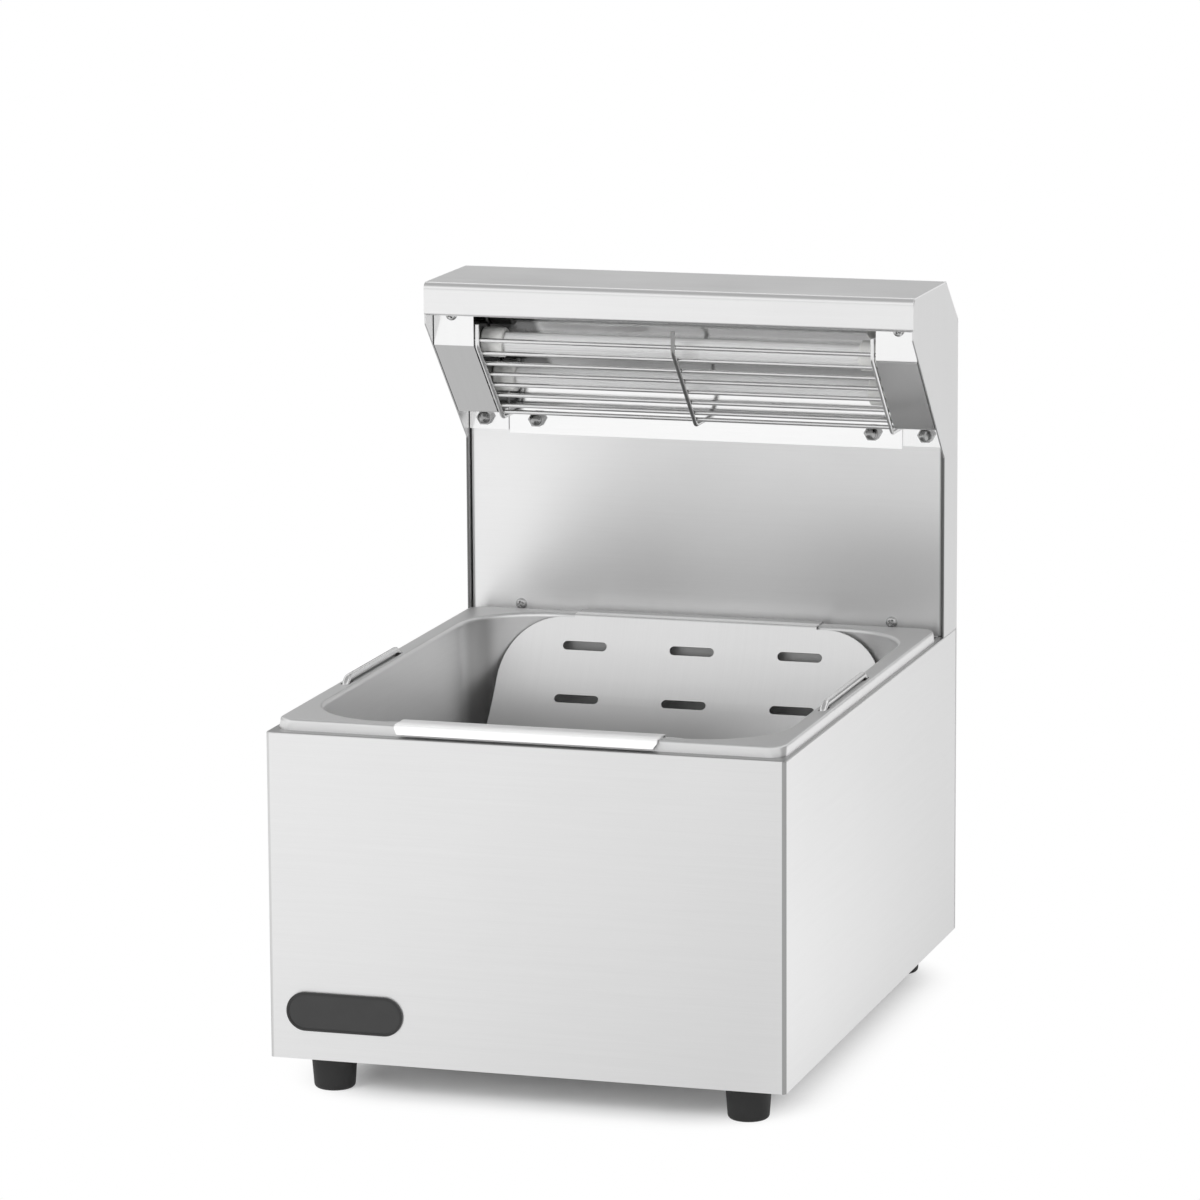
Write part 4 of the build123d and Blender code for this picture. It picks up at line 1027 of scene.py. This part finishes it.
class FRYWARMER_OT_switch(bpy.types.Operator):
    """Finish the switch and the gland, and put the on and off marks on the rocker"""

    bl_idname = "fry_warmer.switch"
    bl_label = "Switch and gland"

    STROKE = 0.0006            # m, width of both marks' lines
    OFF_RADIUS = 0.0018        # m, inside of the off mark's ring
    OFF_STEPS = 40
    ON_HEIGHT = 0.0048         # m
    ON_STEPS = 8
    CLEAR = 0.01               # m behind the rocker, from where the marks are laid onto it

    def execute(self, context):
        look = context.scene.fry_trim
        plastic = moulded("black_plastic", look.plastic, roughness=0.42, cell=0.0005, depth=0.00006)
        coat(plastic, "switch_housing", "switch_rocker", "cable_gland", "gland_locknut")
        paint = moulded("mark_paint", look.mark, roughness=0.5, cell=0.0004, depth=0.00003)
        low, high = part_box("switch_rocker")
        middle, quarter = (low + high) / 2, (high.z - low.z) / 4
        for name, rows, rise in (("off", self.ring(), -quarter), ("on", self.bar(), quarter)):
            start = Vector((middle.x, high.y + self.CLEAR, middle.z + rise))
            self.project(f"rocker_mark_{name}", rows, start, paint, look.mark_height)
        return {"FINISHED"}

    def ring(self):
        """Inner and outer row of the off mark's points."""
        angles = [2 * math.pi * i / self.OFF_STEPS for i in range(self.OFF_STEPS + 1)]
        radii = (self.OFF_RADIUS, self.OFF_RADIUS + self.STROKE)
        return [[(r * math.cos(a), r * math.sin(a)) for a in angles] for r in radii]

    def bar(self):
        """Left and right row of the on mark's points."""
        heights = [-self.ON_HEIGHT / 2 + self.ON_HEIGHT * i / self.ON_STEPS for i in range(self.ON_STEPS + 1)]
        return [[(x, height) for height in heights] for x in (-self.STROKE / 2, self.STROKE / 2)]

    def project(self, name, rows, start, paint, height):
        """Thin raised mark, laid onto the rocker's face from a place behind it."""
        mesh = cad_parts["switch_rocker"].data
        face = BVHTree.FromPolygons([v.co for v in mesh.vertices], [p.vertices for p in mesh.polygons])
        points = []
        for row in rows:
            for across, up in row:
                hit = face.ray_cast(start + Vector((-across, 0, up)), Vector((0, -1, 0)))[0]
                if hit is None:
                    raise RuntimeError(f"{name} misses the rocker")
                points.append(hit)
        count = len(rows[0])
        faces = [(i, i + 1, count + i + 1, count + i) for i in range(count - 1)]
        piece = add_piece(name, points, faces, paint, "rocker")
        thick = piece.modifiers.new("Thickness", "SOLIDIFY")
        thick.thickness = 2 * height
        thick.offset = 0.0


class FRYWARMER_OT_wiring(bpy.types.Operator):
    """Finish the terminal block and the leads inside the column"""

    bl_idname = "fry_warmer.wiring"
    bl_label = "Wiring"

    def execute(self, context):
        look = context.scene.fry_trim
        block = moulded("terminal_block", look.block, roughness=0.5, cell=0.0008, depth=0.00006)
        coat(block, "terminal_block")
        sleeve = moulded("lead_sleeve", look.sleeve, roughness=0.6, cell=0.0006, depth=0.0001)
        coat(sleeve, "lamp_leads_left", "lamp_leads_right", "switch_leads")
        return {"FINISHED"}


class FRYWARMER_OT_studio(bpy.types.Operator):
    """Set up the floor, the backdrop, the lamps and the camera"""

    bl_idname = "fry_warmer.studio"
    bl_label = "Studio"

    FLOOR_RADIUS = 7.0         # m
    FLOOR_SIDES = 96
    TO_FRONT = (-0.1, -0.9)    # fade of the backdrop towards the front
    UPWARDS = ((-0.02, 0.06), (0.20, 0.40), (0.60, 0.85))      # its fades to horizon, band and ceiling
    LAMPS = {                  # side, place and target in metres
        "Top": (2.4, Vector((0, -0.2, 2.4)), Vector((0, -0.2, 0))),
        "Front": (1.2, Vector((-0.9, -2.0, 1.0)), Vector((0, 0.1, 0.3))),
    }
    CAMERA_PLACE = Vector((1.1291, -3.7607, 1.0360))
    CAMERA_TURNS = (16.992, 10.672, -0.358)    # degrees: to the left, down and about its own axis
    SENSOR = 36.0              # mm
    CLIP_END = 50.0            # m

    def execute(self, context):
        scene, look = context.scene, context.scene.fry_studio
        self.lay_floor(scene, look)
        self.hang_backdrop(scene, look)
        for name, power in (("Top", look.top_power), ("Front", look.front_power)):
            self.set_lamp(scene, name, power, *self.LAMPS[name])
        self.set_camera(scene, look)
        scene.view_settings.view_transform = "Standard"
        return {"FINISHED"}

    def lay_floor(self, scene, look):
        shape = bmesh.new()
        bmesh.ops.create_circle(shape, cap_ends=True, segments=self.FLOOR_SIDES, radius=self.FLOOR_RADIUS)
        mesh = bpy.data.meshes.new("floor")
        shape.to_mesh(mesh)
        shape.free()
        mesh.materials.append(pale_floor(look))
        floor = bpy.data.objects.new("floor", mesh)
        scene.collection.objects.link(floor)

    def hang_backdrop(self, scene, look):
        world = bpy.data.worlds.new("backdrop")
        world.use_nodes = True
        world.node_tree.nodes.clear()
        tree = Wire(world.node_tree)
        _, back, up = split(tree.node("ShaderNodeTexCoord", out="Generated"))
        low = mixed(tree, soft_step(tree, back, self.TO_FRONT), rgba(look.horizon), rgba(look.front))
        shade = rgba(look.below)
        for fade, colour in zip(self.UPWARDS, (low, rgba(look.band), rgba(look.ceiling))):
            shade = mixed(tree, soft_step(tree, up, fade), shade, colour)
        light = tree.node("ShaderNodeBackground", sockets={"Color": shade, "Strength": 1.0})
        tree.node("ShaderNodeOutputWorld", sockets={"Surface": light})
        scene.world = world

    def set_lamp(self, scene, name, power, side, place, target):
        light = bpy.data.lights.new(name, "AREA")
        light.energy = power
        light.size = side
        lamp = bpy.data.objects.new(name, light)
        lamp.location = place
        lamp.rotation_euler = (target - place).to_track_quat("-Z", "Y").to_euler()
        lamp.visible_camera = False
        lamp.visible_glossy = False
        scene.collection.objects.link(lamp)

    def set_camera(self, scene, look):
        yaw, pitch, roll = (math.radians(angle) for angle in self.CAMERA_TURNS)
        ahead = Vector((-math.sin(yaw) * math.cos(pitch), math.cos(yaw) * math.cos(pitch), -math.sin(pitch)))
        right = Vector((math.cos(yaw), math.sin(yaw), 0.0))
        up = right.cross(ahead)
        level = math.cos(roll) * right + math.sin(roll) * up
        rise = math.cos(roll) * up - math.sin(roll) * right
        view = bpy.data.cameras.new("camera")
        view.sensor_width = self.SENSOR
        view.lens = look.lens
        view.clip_end = self.CLIP_END
        camera = bpy.data.objects.new("camera", view)
        turn = Matrix((level, rise, -ahead)).transposed().to_4x4()
        camera.matrix_world = Matrix.Translation(self.CAMERA_PLACE) @ turn
        scene.collection.objects.link(camera)
        scene.camera = camera


LOOKS = {"fry_steel": SteelLook, "fry_lamps": LampLook, "fry_trim": TrimLook, "fry_studio": StudioLook}
STEPS = (
    FRYWARMER_OT_body_sheets,
    FRYWARMER_OT_column_sheets,
    FRYWARMER_OT_food_pan,
    FRYWARMER_OT_fry_insert,
    FRYWARMER_OT_wires,
    FRYWARMER_OT_brackets,
    FRYWARMER_OT_reflector,
    FRYWARMER_OT_lamps,
    FRYWARMER_OT_screws,
    FRYWARMER_OT_feet,
    FRYWARMER_OT_badge,
    FRYWARMER_OT_switch,
    FRYWARMER_OT_wiring,
    FRYWARMER_OT_studio,
)


class FRYWARMER_PT_sidebar(bpy.types.Panel):
    """Lists the looks of the warmer and the steps that make them"""

    bl_idname = "FRYWARMER_PT_sidebar"
    bl_label = "Fry warmer"
    bl_space_type = "VIEW_3D"
    bl_region_type = "UI"
    bl_category = "Fry warmer"

    def draw(self, context):
        for name, group in LOOKS.items():
            box = self.layout.box()
            for value in group.__annotations__:
                box.prop(getattr(context.scene, name), value)
        for step in STEPS:
            self.layout.operator(step.bl_idname)


CLASSES = (*LOOKS.values(), *STEPS, FRYWARMER_PT_sidebar)


def register():
    """Add the classes and the looks."""
    for item in CLASSES:
        bpy.utils.register_class(item)
    for name, group in LOOKS.items():
        setattr(bpy.types.Scene, name, bpy.props.PointerProperty(type=group))


def unregister():
    """Take the looks and the classes away."""
    for name in LOOKS:
        delattr(bpy.types.Scene, name)
    for item in reversed(CLASSES):
        bpy.utils.unregister_class(item)


def main():
    """Dress the warmer."""
    register()
    for step in STEPS:
        getattr(bpy.ops.fry_warmer, step.bl_idname.split(".")[1])()


if __name__ == "__main__":
    main()
